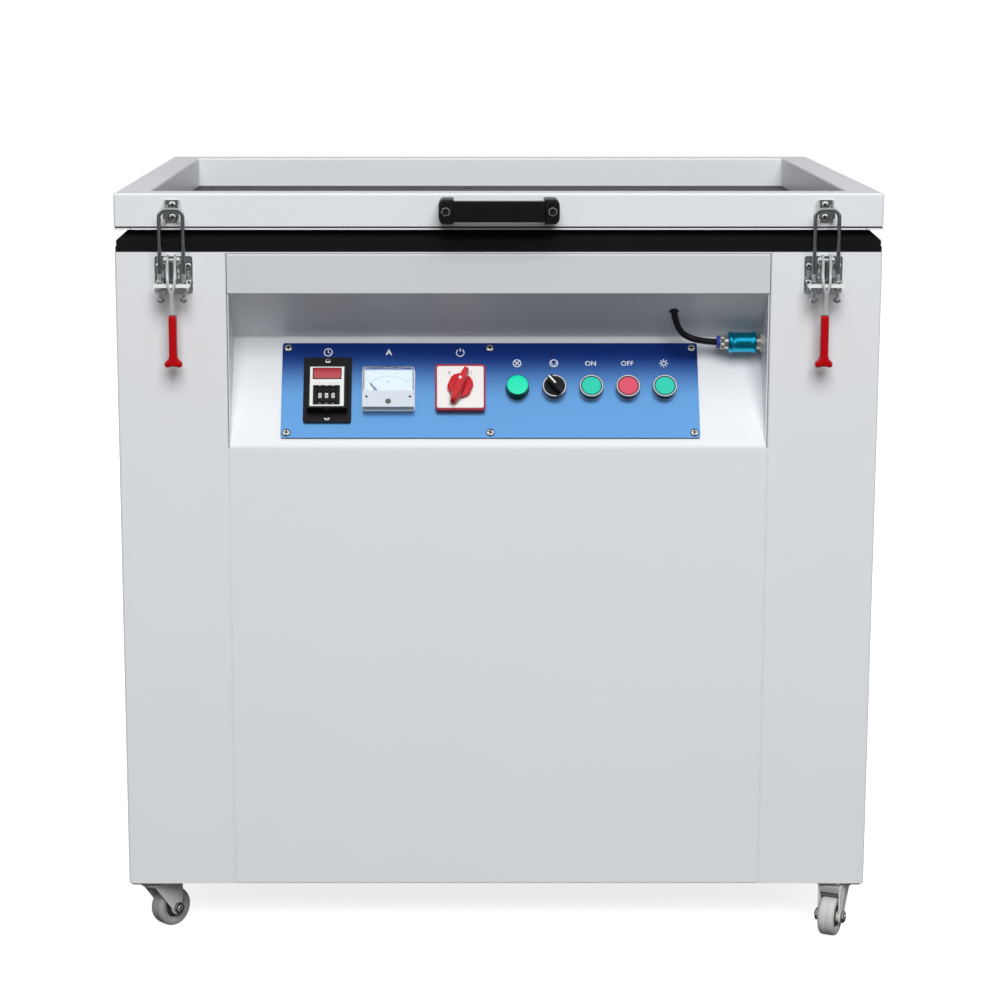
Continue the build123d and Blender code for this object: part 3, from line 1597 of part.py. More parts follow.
with BuildPart() as valve_sleeve:
    with BuildSketch(section(valve_sleeve_left)):
        with Locations(valve_axis):
            Circle(valve_sleeve_radius)
    extrude(amount=valve_sleeve_length)
    chamfer(valve_sleeve.edges().filter_by(GeomType.CIRCLE), valve_sleeve_edge)
    with BuildSketch(section(valve_sleeve_left)):
        with Locations(valve_axis):
            Circle(valve_spool_radius + running_clearance)
    extrude(amount=valve_sleeve_length, mode=Mode.SUBTRACT)
export(valve_sleeve, "valve_sleeve")

with BuildPart() as vacuum_hose:
    # from the fitting's socket, up through the ceiling of the recess, on to the deck's port
    hose_start = fitting_left + valve_socket_depth
    port_y = front + port_in
    port_end = header_top - port_length
    bend_x, bend_in, bend_rise = hose_bend
    hose_route = [
        (hose_start, valve_y, valve_height),
        (hose_start - hose_straight, valve_y, valve_height),
        (valve_sleeve_left - bend_x, front + bend_in, valve_height + bend_rise),
        (hose_hole_x + hose_lean, front + hose_hole_in + hose_lean, hose_hole_height - hose_under),
        (hose_hole_x - hose_lean, front + hose_hole_in + 3 * hose_lean, hose_hole_height + 2 * hose_under),
        (hose_hole_x, port_y, port_end - hose_drop),
        (hose_hole_x, port_y, port_end),
    ]
    points = [Vector(*point) for point in hose_route]
    hose_radii = []
    for before, point, after in zip(points, points[1:], points[2:]):
        first_run = point - before
        next_run = after - point
        half_turn = radians(first_run.get_angle(next_run)) / 2
        shorter = min(first_run.length, next_run.length)
        hose_radii.append(hose_bend_share * shorter * cos(half_turn) / sin(half_turn))
    print("hose bend radii:", [round(radius, 1) for radius in hose_radii])
    with BuildLine():
        hose_path = FilletPolyline(*points, radius=hose_radii)
    print("hose length:", round(hose_path.length, 1))
    with BuildSketch(Plane(origin=points[0], z_dir=points[1] - points[0])):
        Circle(hose_radius)
    sweep(path=hose_path)
export(vacuum_hose, "vacuum_hose")
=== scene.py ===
import json
import math
import random
import bmesh
import bpy
from mathutils import Matrix, Vector


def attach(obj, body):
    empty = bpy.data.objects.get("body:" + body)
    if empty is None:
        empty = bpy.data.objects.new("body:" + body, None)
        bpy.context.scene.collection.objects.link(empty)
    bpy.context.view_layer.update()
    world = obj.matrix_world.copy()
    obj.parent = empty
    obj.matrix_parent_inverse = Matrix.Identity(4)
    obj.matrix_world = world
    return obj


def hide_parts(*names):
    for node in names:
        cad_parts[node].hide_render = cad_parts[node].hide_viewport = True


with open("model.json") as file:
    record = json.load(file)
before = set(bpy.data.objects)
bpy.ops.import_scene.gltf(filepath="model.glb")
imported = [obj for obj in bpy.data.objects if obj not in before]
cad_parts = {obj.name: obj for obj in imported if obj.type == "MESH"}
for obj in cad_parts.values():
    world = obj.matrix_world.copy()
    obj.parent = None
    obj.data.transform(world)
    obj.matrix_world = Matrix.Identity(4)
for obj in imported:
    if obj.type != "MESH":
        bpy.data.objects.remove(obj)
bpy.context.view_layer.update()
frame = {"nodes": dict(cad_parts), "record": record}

scene = bpy.context.scene
nodes = frame["nodes"]
mm = 0.001
rightward, inward, upward = Vector((1, 0, 0)), Vector((0, 1, 0)), Vector((0, 0, 1))
hand = {"left": -1, "right": 1}

# shared places, in millimetres as the CAD has them
unit = {
    "front": -348.25, "back": 371.75, "middle": 11.75, "halfWidth": 465.0, "lidTop": 941.0,
    "recessHalf": 330.0, "slopeLow": 631.0, "slopeRise": 125.0, "slopeDepth": 82.0, "plate": 1.5,
}
slopeTilt = math.atan2(unit["slopeDepth"], unit["slopeRise"])
slopeUp = Vector((0, math.sin(slopeTilt), math.cos(slopeTilt)))
slopeOut = Vector((0, -math.cos(slopeTilt), math.sin(slopeTilt)))


def axes(origin, xAxis, yAxis, zAxis):
    turn = Matrix((xAxis, yAxis, zAxis)).transposed().to_4x4()
    return Matrix.Translation(Vector(origin) * mm) @ turn @ Matrix.Scale(mm, 4)


def onPanel(u, v, h=0.0, angle=0.0):
    origin = Vector((u, unit["front"], unit["slopeLow"])) + slopeUp * v + slopeOut * (h + unit["plate"])
    return axes(origin, rightward, slopeUp, slopeOut) @ Matrix.Rotation(angle, 4, "Z")


def onFront(x, z, reach=0.0):
    return axes((x, unit["front"] - reach, z), rightward, upward, -inward)


def onBack(x, z, reach=0.0):
    return axes((x, unit["back"] + reach, z), -rightward, upward, inward)


def upright(x, y, z, angle=0.0):
    return Matrix.Translation(Vector((x, y, z)) * mm) @ Matrix.Rotation(angle, 4, "Z") @ Matrix.Scale(mm, 4)


def sideways(x, y, z, direction=1):
    return axes((x, y, z), inward * direction, upward, rightward * direction)


def roundedRect(width, height, corner, steps=5):
    points = []
    for turn, (sx, sy) in enumerate(((1, 1), (-1, 1), (-1, -1), (1, -1))):
        for step in range(steps + 1):
            angle = math.pi / 2 * (turn + step / steps)
            points.append((
                sx * (width / 2 - corner) + corner * math.cos(angle),
                sy * (height / 2 - corner) + corner * math.sin(angle),
            ))
    return points


def ring(radius, steps):
    turns = [2 * math.pi * k / steps for k in range(steps)]
    return [(radius * math.cos(turn), radius * math.sin(turn)) for turn in turns]


def arc(radius, start, end, steps):
    turns = [math.radians(start + (end - start) * k / steps) for k in range(steps + 1)]
    return [(radius * math.cos(turn), radius * math.sin(turn)) for turn in turns]


def spoke(angle, start, end):
    return [(length * math.cos(angle), length * math.sin(angle)) for length in (start, end)]


def neighbours(line, k, closed):
    before = line[k - 1] if closed or k else line[k]
    after = line[(k + 1) % len(line)] if closed or k < len(line) - 1 else line[k]
    return before, after


def prism(bm, place, outline, low, high, edge=0.0, segments=2, both=False):
    face = bm.faces.new([bm.verts.new(place @ Vector((a, b, low))) for a, b in outline])
    made = bmesh.ops.extrude_face_region(bm, geom=[face])["geom"]
    top = [item for item in made if isinstance(item, bmesh.types.BMVert)]
    bmesh.ops.translate(bm, verts=top, vec=place.to_3x3() @ Vector((0, 0, high - low)))
    if edge:
        cap = [item for item in made if isinstance(item, bmesh.types.BMFace)][0]
        edges = list(cap.edges) + (list(face.edges) if both else [])
        bmesh.ops.bevel(
            bm, geom=edges, offset=edge * mm, segments=segments, profile=0.5, affect="EDGES",
            material=-1, clamp_overlap=True,
        )


def slab(bm, place, sides, ends, low, high, **edges):
    # a block from its left and right and its near and far ends
    (left, across), (near, far) = sides, ends
    prism(bm, place, [(across, far), (left, far), (left, near), (across, near)], low, high, **edges)


def lathe(bm, place, profile, steps=32, closed=False):
    # spin a half section about the place's own axis
    blank = bmesh.new()
    points = [blank.verts.new((radius, 0, height)) for radius, height in profile]
    pairs = list(zip(points, points[1:])) + ([(points[-1], points[0])] if closed else [])
    section = points + [blank.edges.new(pair) for pair in pairs]
    bmesh.ops.spin(
        blank, geom=section, axis=upward, cent=(0, 0, 0), angle=2 * math.pi, steps=steps, use_merge=True,
    )
    bmesh.ops.remove_doubles(blank, verts=blank.verts, dist=0.001)
    blank.transform(place)
    mesh = bpy.data.meshes.new("turned")
    blank.to_mesh(mesh)
    blank.free()
    bm.from_mesh(mesh)
    bpy.data.meshes.remove(mesh)


def wire(bm, points, radii, steps=12, closed=False):
    # round rings along the line, bridged one to the next
    line = [Vector(point) for point in points]
    rings = []
    side = None
    for k, (point, radius) in enumerate(zip(line, radii)):
        before, after = neighbours(line, k, closed)
        along = (after - before).normalized()
        side = side or along.orthogonal().normalized()
        side = (side - along * side.dot(along)).normalized()
        end = not closed and k in (0, len(line) - 1)
        place = axes(point, side.cross(along), side, along)
        made = bmesh.ops.create_circle(bm, cap_ends=end, segments=steps, radius=radius, matrix=place)["verts"]
        rings.append(list({edge for vert in made for edge in vert.link_edges}))
    for first, second in list(zip(rings, rings[1:])) + ([(rings[-1], rings[0])] if closed else []):
        bmesh.ops.bridge_loops(bm, edges=first + second)


def loft(bm, rows):
    # loops of points, bridged one to the next; gives back their vertices
    loops = [[bm.verts.new(point) for point in row] for row in rows]
    rings = [[bm.edges.new(pair) for pair in zip(loop, loop[1:] + loop[:1])] for loop in loops]
    for first, second in zip(rings, rings[1:]):
        bmesh.ops.bridge_loops(bm, edges=first + second)
    return loops


def stroke(bm, place, points, width, low, high, closed=False):
    # a band of even width along a flat line
    line = [Vector(point) for point in points]
    sides = []
    for k, point in enumerate(line):
        before, after = neighbours(line, k, closed)
        side = (after - before).normalized().orthogonal() * width / 2
        sides.append((point - side, point + side))
    for (a, b), (c, d) in list(zip(sides, sides[1:])) + ([(sides[-1], sides[0])] if closed else []):
        prism(bm, place, (a, c, d, b), low, high)


def lettering(bm, place, text, size, low, high):
    # generic figures and words only
    curve = bpy.data.curves.new("figures", "FONT")
    curve.body = text
    curve.size = size
    curve.align_x = "CENTER"
    curve.align_y = "CENTER"
    curve.extrude = (high - low) / 2
    curve.resolution_u = 3
    holder = bpy.data.objects.new("figures", curve)
    mesh = bpy.data.meshes.new_from_object(holder)
    mesh.transform(place @ Matrix.Translation((0, 0, (high + low) / 2)))
    bm.from_mesh(mesh)
    bpy.data.objects.remove(holder)
    bpy.data.curves.remove(curve)
    bpy.data.meshes.remove(mesh)


def cutAway(body, blade):
    # the first mesh less the second
    holders = []
    for name, bm in (("cutBody", body), ("cutBlade", blade)):
        bmesh.ops.recalc_face_normals(bm, faces=bm.faces)
        mesh = bpy.data.meshes.new(name)
        bm.to_mesh(mesh)
        bm.free()
        holders.append(bpy.data.objects.new(name, mesh))
        scene.collection.objects.link(holders[-1])
    cut = holders[0].modifiers.new("cut", "BOOLEAN")
    cut.object = holders[1]
    cut.solver = "EXACT"
    shaped = bpy.data.meshes.new_from_object(holders[0].evaluated_get(bpy.context.evaluated_depsgraph_get()))
    for holder in holders:
        bpy.data.objects.remove(holder)
    return shaped


def piece(name, bm, rider, slotName, material=None, smooth=32, replaced=(), weld=True):
    if weld:
        bmesh.ops.remove_doubles(bm, verts=bm.verts, dist=1e-7)
    bmesh.ops.recalc_face_normals(bm, faces=bm.faces)
    mesh = bpy.data.meshes.new(name)
    bm.to_mesh(mesh)
    bm.free()
    made = bpy.data.objects.new(name, mesh)
    scene.collection.objects.link(made)
    mesh.materials.append(materials[material or slotName])
    if smooth:
        mesh.polygons.foreach_set("use_smooth", [True] * len(mesh.polygons))
        mesh.set_sharp_from_angle(angle=math.radians(smooth))
    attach(made, rider)
    if replaced:
        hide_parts(*replaced)
    return made


def turnedPiece(name, rider, slotName, places, profile, material=None, steps=32, closed=False, **more):
    bm = bmesh.new()
    for place in places:
        lathe(bm, place, profile, steps, closed)
    return piece(name, bm, rider, slotName, material, **more)


def coat(name, material):
    # give a CAD node its material
    held = nodes[name].data.materials
    held.clear()
    held.append(materials[material])


# camera
view = {"place": (-0.05876, -3.56784, 1.18126), "down": 0.18928, "lens": 95.79, "shift": 0.05}
lens = bpy.data.cameras.new("camera")
lens.sensor_width = 36
lens.lens = view["lens"]
lens.shift_x = view["shift"]
lens.clip_start = 0.1
lens.clip_end = 60
camera = bpy.data.objects.new("camera", lens)
camera.location = view["place"]
camera.rotation_euler = (math.pi / 2 - view["down"], 0, 0)
scene.collection.objects.link(camera)
scene.camera = camera


# shading: short forms for the nodes used often
def node(tree, kind, props=None, **inputs):
    made = tree.nodes.new(kind)
    for key, value in (props or {}).items():
        setattr(made, key, value)
    for key, value in inputs.items():
        socket = made.inputs[int(key[1:])] if key[1:].isdigit() else made.inputs[key.replace("_", " ")]
        if isinstance(value, bpy.types.NodeSocket):
            tree.links.new(value, socket)
        else:
            socket.default_value = value
    return made


def maths(tree, operation, *values):
    inputs = {f"i{k}": value for k, value in enumerate(values)}
    return node(tree, "ShaderNodeMath", {"operation": operation}, **inputs).outputs[0]


def mixed(tree, factor, first, second, blend="MIX"):
    props = {"data_type": "RGBA", "blend_type": blend}
    return node(tree, "ShaderNodeMix", props, Factor=factor, i6=first, i7=second).outputs[2]


def spread(tree, value, low, high, kind="LINEAR", top=1.0):
    props = {"interpolation_type": kind}
    made = node(tree, "ShaderNodeMapRange", props, Value=value, From_Min=low, From_Max=high)
    made.inputs["To Max"].default_value = top
    return made.outputs[0]


def noise(tree, where, scale, detail, rough=0.5):
    made = node(tree, "ShaderNodeTexNoise", Vector=where, Scale=scale, Detail=detail, Roughness=rough)
    return made.outputs["Fac"]


def group(tree, held, **inputs):
    return node(tree, "ShaderNodeGroup", {"node_tree": held}, **inputs).outputs


def effect(name, inputs, outputs):
    tree = bpy.data.node_groups.new(name, "ShaderNodeTree")
    for label, value in inputs.items():
        socket = tree.interface.new_socket(name=label, in_out="INPUT", socket_type="NodeSocketFloat")
        socket.default_value = value
    for label, kind in outputs.items():
        tree.interface.new_socket(name=label, in_out="OUTPUT", socket_type=kind)
    where = node(tree, "ShaderNodeTexCoord").outputs["Object"]
    return tree, where, tree.nodes.new("NodeGroupInput").outputs, tree.nodes.new("NodeGroupOutput").inputs


grainLook = {"detail": 4.0, "rough": 0.55, "height": 0.0004,
             "broad": 7.0, "broadDetail": 3.0, "broadRough": 0.6}
soilLook = {"detail": 6.0, "rough": 0.65, "soft": 0.28}
scuffLook = {"bend": 9.0, "twist": 2.5, "thin": 0.006, "patch": 14.0, "from": 0.55, "full": 0.68}


def makeGrain():
    tree, where, given, out = effect(
        "surfaceGrain", {"Scale": 300.0, "Strength": 0.2, "Stretch": 1.0},
        {"Normal": "NodeSocketVector", "Broad": "NodeSocketFloat"},
    )
    apart = node(tree, "ShaderNodeSeparateXYZ", Vector=where).outputs
    stretched = maths(tree, "MULTIPLY", apart["Z"], given["Stretch"])
    joined = node(tree, "ShaderNodeCombineXYZ", X=apart["X"], Y=apart["Y"], Z=stretched).outputs[0]
    fine = noise(tree, joined, given["Scale"], grainLook["detail"], grainLook["rough"])
    broad = noise(tree, where, grainLook["broad"], grainLook["broadDetail"], grainLook["broadRough"])
    bump = node(tree, "ShaderNodeBump", Strength=given["Strength"], Distance=grainLook["height"], Height=fine)
    tree.links.new(bump.outputs[0], out["Normal"])
    tree.links.new(broad, out["Broad"])
    return tree


def makeSoil():
    given = {"Scale": 18.0, "Cover": 0.5}
    tree, where, given, out = effect("handlingSoil", given, {"Mask": "NodeSocketFloat"})
    cloud = noise(tree, where, given["Scale"], soilLook["detail"], soilLook["rough"])
    edge = maths(tree, "SUBTRACT", 1.0, given["Cover"])
    full = maths(tree, "ADD", edge, soilLook["soft"])
    tree.links.new(spread(tree, cloud, edge, full, "SMOOTHSTEP"), out["Mask"])
    return tree


def makeScuffs():
    tree, where, given, out = effect("scuffs", {"Scale": 30.0, "Amount": 0.4}, {"Mask": "NodeSocketFloat"})
    lines = node(
        tree, "ShaderNodeTexNoise", {"noise_dimensions": "4D"}, Vector=where, Scale=given["Scale"],
        W=noise(tree, where, scuffLook["bend"], 2.0), Detail=2.0, Distortion=scuffLook["twist"],
    )
    flat = maths(tree, "ABSOLUTE", maths(tree, "SUBTRACT", lines.outputs["Fac"], 0.5))
    thin = spread(tree, flat, scuffLook["thin"], 0.0)
    some = spread(tree, noise(tree, where, scuffLook["patch"], 1.0), scuffLook["from"], scuffLook["full"])
    mask = maths(tree, "MULTIPLY", maths(tree, "MULTIPLY", thin, some), given["Amount"])
    tree.links.new(mask, out["Mask"])
    return tree


def makeShadeFade():
    # a mask that grows with height, for painted shade on the upper parts
    tree, where, given, out = effect("paintedShadeFade", {"Low": 0.6, "High": 0.8}, {"Mask": "NodeSocketFloat"})
    apart = node(tree, "ShaderNodeSeparateXYZ", Vector=where).outputs
    lifted = maths(tree, "MULTIPLY_ADD", noise(tree, where, 6.0, 1.0), 0.012, apart["Z"])
    tree.links.new(spread(tree, lifted, given["Low"], given["High"], "SMOOTHSTEP"), out["Mask"])
    return tree


grainTree, soilTree, scuffTree, shadeFadeTree = makeGrain(), makeSoil(), makeScuffs(), makeShadeFade()


def finish(name, color, second, soil, rough, roughVary=0.08, metal=0.0, grain=(300.0, 0.15, 1.0),
           cover=0.4, soilScale=18.0, soilDepth=0.5, scuff=0.3, **shader):
    material = bpy.data.materials.new(name)
    material.use_nodes = True
    tree = material.node_tree
    skin = tree.nodes["Principled BSDF"]
    surface = group(tree, grainTree, Scale=grain[0], Strength=grain[1], Stretch=grain[2])
    dirt = group(tree, soilTree, Scale=soilScale, Cover=cover)[0]
    marks = group(tree, scuffTree, Scale=30.0, Amount=scuff)[0]
    clean = mixed(tree, surface["Broad"], (*color, 1), (*second, 1))
    dirty = mixed(tree, maths(tree, "MULTIPLY", dirt, soilDepth), clean, (*soil, 1))
    worn = mixed(tree, marks, dirty, (*[min(1.0, c * 1.25 + 0.02) for c in color], 1))
    dulled = maths(tree, "MULTIPLY_ADD", dirt, roughVary, rough)
    tree.links.new(worn, skin.inputs["Base Color"])
    tree.links.new(maths(tree, "MULTIPLY_ADD", marks, 0.25, dulled), skin.inputs["Roughness"])
    tree.links.new(surface["Normal"], skin.inputs["Normal"])
    skin.inputs["Metallic"].default_value = metal
    for key, value in shader.items():
        skin.inputs[key.replace("_", " ")].default_value = value
    return material


def plain(name, color, rough, metal=0.0, grain=(300.0, 0.06, 1.0), **shader):
    second = tuple(min(1.0, c * 1.12 + 0.003) for c in color)
    soil = tuple(c * 0.6 for c in color)
    return finish(name, color, second, soil, rough, metal=metal, grain=grain, soilScale=30.0, soilDepth=0.15,
                  scuff=0.15, **shader)


def clearFinish(name, color, rough, ior, scratch):
    material = bpy.data.materials.new(name)
    material.use_nodes = True
    tree = material.node_tree
    skin = tree.nodes["Principled BSDF"]
    dirt = group(tree, soilTree, Scale=16.0, Cover=0.4)[0]
    marks = group(tree, scuffTree, Scale=40.0, Amount=scratch)[0]
    film = maths(tree, "MULTIPLY_ADD", dirt, 0.06, rough)
    tint = mixed(tree, dirt, (*color, 1), (*[c * 0.97 for c in color], 1))
    tree.links.new(maths(tree, "MULTIPLY_ADD", marks, 0.2, film), skin.inputs["Roughness"])
    tree.links.new(tint, skin.inputs["Base Color"])
    skin.inputs["Transmission Weight"].default_value = 1.0
    skin.inputs["IOR"].default_value = ior
    return material


def paintShadeAbove(material, low, high, color):
    # painted shade: the finish darkens to another colour between two heights
    tree = material.node_tree
    base = tree.nodes["Principled BSDF"].inputs["Base Color"]
    mask = group(tree, shadeFadeTree, Low=low, High=high)[0]
    tree.links.new(mixed(tree, mask, base.links[0].from_socket, (*color, 1)), base)


finishes = {
    "painted_steel": dict(
        color=(0.83, 0.855, 0.885), second=(0.85, 0.87, 0.895), soil=(0.70, 0.71, 0.70), rough=0.34,
        grain=(420.0, 0.06, 1.0), cover=0.42, soilScale=5.0, soilDepth=0.10, scuff=0.12,
        Specular_IOR_Level=0.35,
    ),
    "black_rubber": dict(
        color=(0.005, 0.005, 0.006), second=(0.009, 0.009, 0.010), soil=(0.025, 0.025, 0.025), rough=0.5,
        roughVary=0.2, grain=(520.0, 0.12, 1.0), cover=0.45, soilDepth=0.4, scuff=0.1,
        Specular_IOR_Level=0.16,
    ),
    "bright_aluminium": dict(
        color=(0.85, 0.86, 0.88), second=(0.80, 0.81, 0.84), soil=(0.5, 0.5, 0.5), rough=0.28, metal=1.0,
        grain=(120.0, 0.1, 6.0), soilDepth=0.15,
    ),
    "grey_castings": dict(
        color=(0.10, 0.12, 0.14), second=(0.13, 0.15, 0.17), soil=(0.05, 0.05, 0.05), rough=0.45,
        grain=(260.0, 0.5, 1.0), soilDepth=0.3,
    ),
    "zinc_plate": dict(
        color=(0.72, 0.75, 0.76), second=(0.82, 0.83, 0.82), soil=(0.38, 0.38, 0.37), rough=0.14,
        roughVary=0.14, metal=1.0, grain=(420.0, 0.05, 1.0), cover=0.42, soilScale=45.0, soilDepth=0.35,
        scuff=0.4,
    ),
    "grey_tyre": dict(
        color=(0.36, 0.355, 0.345), second=(0.45, 0.445, 0.435), soil=(0.13, 0.12, 0.11), rough=0.6,
        grain=(300.0, 0.35, 1.0), cover=0.45, soilScale=40.0,
    ),
    "blue_enamel": dict(
        color=(0.145, 0.385, 0.77), second=(0.152, 0.40, 0.79), soil=(0.13, 0.34, 0.69), rough=0.3,
        roughVary=0.05, metal=0.9, grain=(300.0, 0.03, 1.0), soilScale=12.0, soilDepth=0.1,
        scuff=0.1, Coat_Weight=0.2, Coat_Roughness=0.2,
    ),
    "black_plastic": dict(
        color=(0.006, 0.006, 0.007), second=(0.010, 0.010, 0.011), soil=(0.03, 0.03, 0.03), rough=0.32,
        grain=(700.0, 0.12, 1.0), soilScale=35.0, soilDepth=0.35, scuff=0.25,
        Specular_IOR_Level=0.2,
    ),
    "black_enamel": dict(
        color=(0.010, 0.010, 0.011), second=(0.014, 0.014, 0.015), soil=(0.06, 0.06, 0.06), rough=0.18,
        grain=(200.0, 0.05, 1.0), soilDepth=0.2, Coat_Weight=0.3,
    ),
    "chromed_rod": dict(
        color=(0.80, 0.81, 0.82), second=(0.84, 0.84, 0.84), soil=(0.5, 0.5, 0.5), rough=0.12, metal=1.0,
        grain=(200.0, 0.04, 1.0), soilDepth=0.15,
    ),
    "red_vinyl": dict(
        color=(0.50, 0.001, 0.004), second=(0.57, 0.002, 0.006), soil=(0.28, 0.002, 0.004), rough=0.28,
        grain=(240.0, 0.12, 1.0), soilScale=45.0, soilDepth=0.3, Specular_IOR_Level=0.3,
        Subsurface_Weight=0.04, Subsurface_Radius=(0.004, 0.001, 0.001), Subsurface_Scale=0.4,
    ),
    "white_plastic": dict(
        color=(0.86, 0.85, 0.83), second=(0.88, 0.87, 0.86), soil=(0.60, 0.58, 0.54), rough=0.3,
        grain=(260.0, 0.06, 1.0), soilScale=30.0, soilDepth=0.12,
    ),
    "red_plastic": dict(
        color=(0.56, 0.006, 0.016), second=(0.62, 0.010, 0.022), soil=(0.32, 0.01, 0.02), rough=0.22,
        grain=(300.0, 0.06, 1.0), soilScale=30.0, soilDepth=0.18, Specular_IOR_Level=0.35,
    ),
    "green_plastic": dict(
        color=(0.012, 0.58, 0.42), second=(0.018, 0.63, 0.46), soil=(0.02, 0.42, 0.30), rough=0.3,
        grain=(300.0, 0.06, 1.0), soilScale=30.0, soilDepth=0.12, scuff=0.2,
    ),
    "nickel_brass": dict(
        color=(0.66, 0.66, 0.62), second=(0.72, 0.70, 0.64), soil=(0.35, 0.33, 0.28), rough=0.2, metal=1.0,
        grain=(220.0, 0.1, 1.0), soilScale=60.0, soilDepth=0.3,
    ),
    "blue_anodised": dict(
        color=(0.015, 0.42, 0.66), second=(0.02, 0.47, 0.72), soil=(0.01, 0.28, 0.45), rough=0.24, metal=1.0,
        grain=(260.0, 0.15, 1.0), soilScale=50.0, soilDepth=0.25, scuff=0.4,
    ),
    "black_hose": dict(
        color=(0.005, 0.005, 0.006), second=(0.008, 0.008, 0.009), soil=(0.03, 0.03, 0.03), rough=0.16,
        grain=(300.0, 0.04, 1.0), soilDepth=0.2, Specular_IOR_Level=0.3,
    ),
}
plainFinishes = {
    "inkWhite": dict(color=(0.78, 0.80, 0.82), rough=0.45),
    "blackInkAndShade": dict(color=(0.015, 0.015, 0.016), rough=0.5),
    "inkGrey": dict(color=(0.16, 0.17, 0.18), rough=0.5),
    "inkFaint": dict(color=(0.26, 0.30, 0.36), rough=0.5),
    "faceWhite": dict(color=(0.76, 0.77, 0.76), rough=0.3),
    "paintedShadow": dict(color=(0.006, 0.006, 0.006), rough=0.7),
    "displayRed": dict(color=(0.42, 0.035, 0.05), rough=0.16, grain=(900.0, 0.05, 1.0), Coat_Weight=0.5),
    "caseWhite": dict(color=(0.68, 0.73, 0.79), rough=0.2, Coat_Weight=0.3),
    "dialHaze": dict(color=(0.52, 0.60, 0.70), rough=0.4),
    "ribShade": dict(color=(0.46, 0.51, 0.59), rough=0.3),
    "zeroGrey": dict(color=(0.13, 0.14, 0.14), rough=0.35),
    "plateRed": dict(color=(0.33, 0.012, 0.03), rough=0.3),
    "edgeShadowNavy": dict(color=(0.012, 0.035, 0.10), rough=0.5),
    "blueCollar": dict(color=(0.03, 0.05, 0.32), rough=0.35),
    "satinMetal": dict(color=(0.86, 0.87, 0.88), rough=0.16, metal=1.0, grain=(260.0, 0.08, 1.0)),
    "ringShade": dict(color=(0.07, 0.08, 0.10), rough=0.2, metal=0.9),
    "buttonRed": dict(color=(0.66, 0.070, 0.125), rough=0.3),
    "lensSide": dict(color=(0.001, 0.075, 0.040), rough=0.25, Specular_IOR_Level=0.15),
    "lampGreen": dict(
        color=(0.006, 0.66, 0.40), rough=0.25, Emission_Color=(0.0, 0.8, 0.45, 1), Emission_Strength=0.12,
    ),
    "crossHighlight": dict(color=(0.88, 0.89, 0.90), rough=0.3),
    "leverHighlight": dict(color=(0.80, 0.82, 0.84), rough=0.2, metal=0.55),
    "rodZinc": dict(color=(0.36, 0.385, 0.395), rough=0.16, metal=1.0),
    "boltDark": dict(color=(0.045, 0.045, 0.048), rough=0.18, metal=0.8),
    "zincEdgeHighlight": dict(color=(0.85, 0.86, 0.87), rough=0.22, metal=0.8),
    "hubDark": dict(color=(0.035, 0.035, 0.036), rough=0.45),
    "nutZinc": dict(color=(0.19, 0.195, 0.20), rough=0.2, metal=0.9),
    "forkGrey": dict(color=(0.80, 0.78, 0.76), rough=0.34, metal=0.1),
    "forkInsideShadow": dict(color=(0.16, 0.15, 0.145), rough=0.5),
    "forkShade": dict(color=(0.36, 0.35, 0.34), rough=0.45),
    "tyreLitPale": dict(color=(0.60, 0.595, 0.58), rough=0.5, grain=(300.0, 0.2, 1.0)),
    "weldGrey": dict(color=(0.52, 0.54, 0.56), rough=0.45),
}
clearFinishes = {
    "clear_glass": dict(color=(0.93, 0.99, 0.97), rough=0.02, ior=1.5, scratch=0.2),
    "lamp_glass": dict(color=(0.96, 0.97, 1.0), rough=0.03, ior=1.45, scratch=0.1),
    "clear_plastic": dict(color=(0.97, 0.985, 1.0), rough=0.04, ior=1.2, scratch=0.3),
}
materials = {name: finish(name, **values) for name, values in finishes.items()}
materials |= {name: plain(name, **values) for name, values in plainFinishes.items()}
materials |= {name: clearFinish(name, **values) for name, values in clearFinishes.items()}
# painted shade: a copy of the steel paint that darkens over the slope's top, the recess ceiling and the header
materials["recessPaintedShade"] = finish("recessPaintedShade", **finishes["painted_steel"])
# painted shade and reflection: the blue plate darkens to navy towards its top
paintShadeAbove(materials["blue_enamel"], low=0.688, high=0.746, color=(0.010, 0.052, 0.33))
paintShadeAbove(materials["recessPaintedShade"], low=0.665, high=0.748, color=(0.69, 0.71, 0.735))
for part in frame["record"]["subparts"]:
    coat(part["node"], part["material_slot"])
coat("upper_fascia", "recessPaintedShade")
print("finishes:", len(materials), "on", len(nodes), "nodes")

# light and floor
studio = {
    "key": 550.0, "keyPlace": (0.5, -6.26, 5.6), "keyTarget": (0, 0, 0.6), "keySize": 4.6,
    "floorSize": 9, "floorDark": 0.14, "paper": 0.97, "glow": 0.8, "strip": 0.62, "stripLight": 1.3,
}
softSky = {
    "ends": ((0.02, 0.02, 0.02), (0.32, 0.32, 0.325)), "stops": {0.47: 0.03, 0.52: 0.10, 0.62: 0.22, 0.8: 0.30},
}
glossSky = {
    "ends": ((0.3, 0.3, 0.3), (0.95, 0.96, 0.97)), "stops": {0.5: 0.10, 0.58: 0.16, 0.68: 0.75, 0.76: 1.1},
}
world = bpy.data.worlds.new("studio")
scene.world = world
world.use_nodes = True
sky = world.node_tree
sky.nodes.clear()
outward = node(sky, "ShaderNodeTexCoord").outputs["Generated"]
direction = node(sky, "ShaderNodeSeparateXYZ", Vector=outward).outputs


def skyRamp(look):
    ramp = node(sky, "ShaderNodeValToRGB", Fac=spread(sky, direction["Z"], -1.0, 1.0))
    stops = ramp.color_ramp.elements
    for stop, color in zip(stops, look["ends"]):
        stop.color = (*color, 1)
    for spot, level in look["stops"].items():
        stops.new(spot).color = (level, level, level * 1.01, 1)
    return ramp.outputs["Color"]


def background(color):
    return node(sky, "ShaderNodeBackground", Color=color, Strength=1.0).outputs[0]


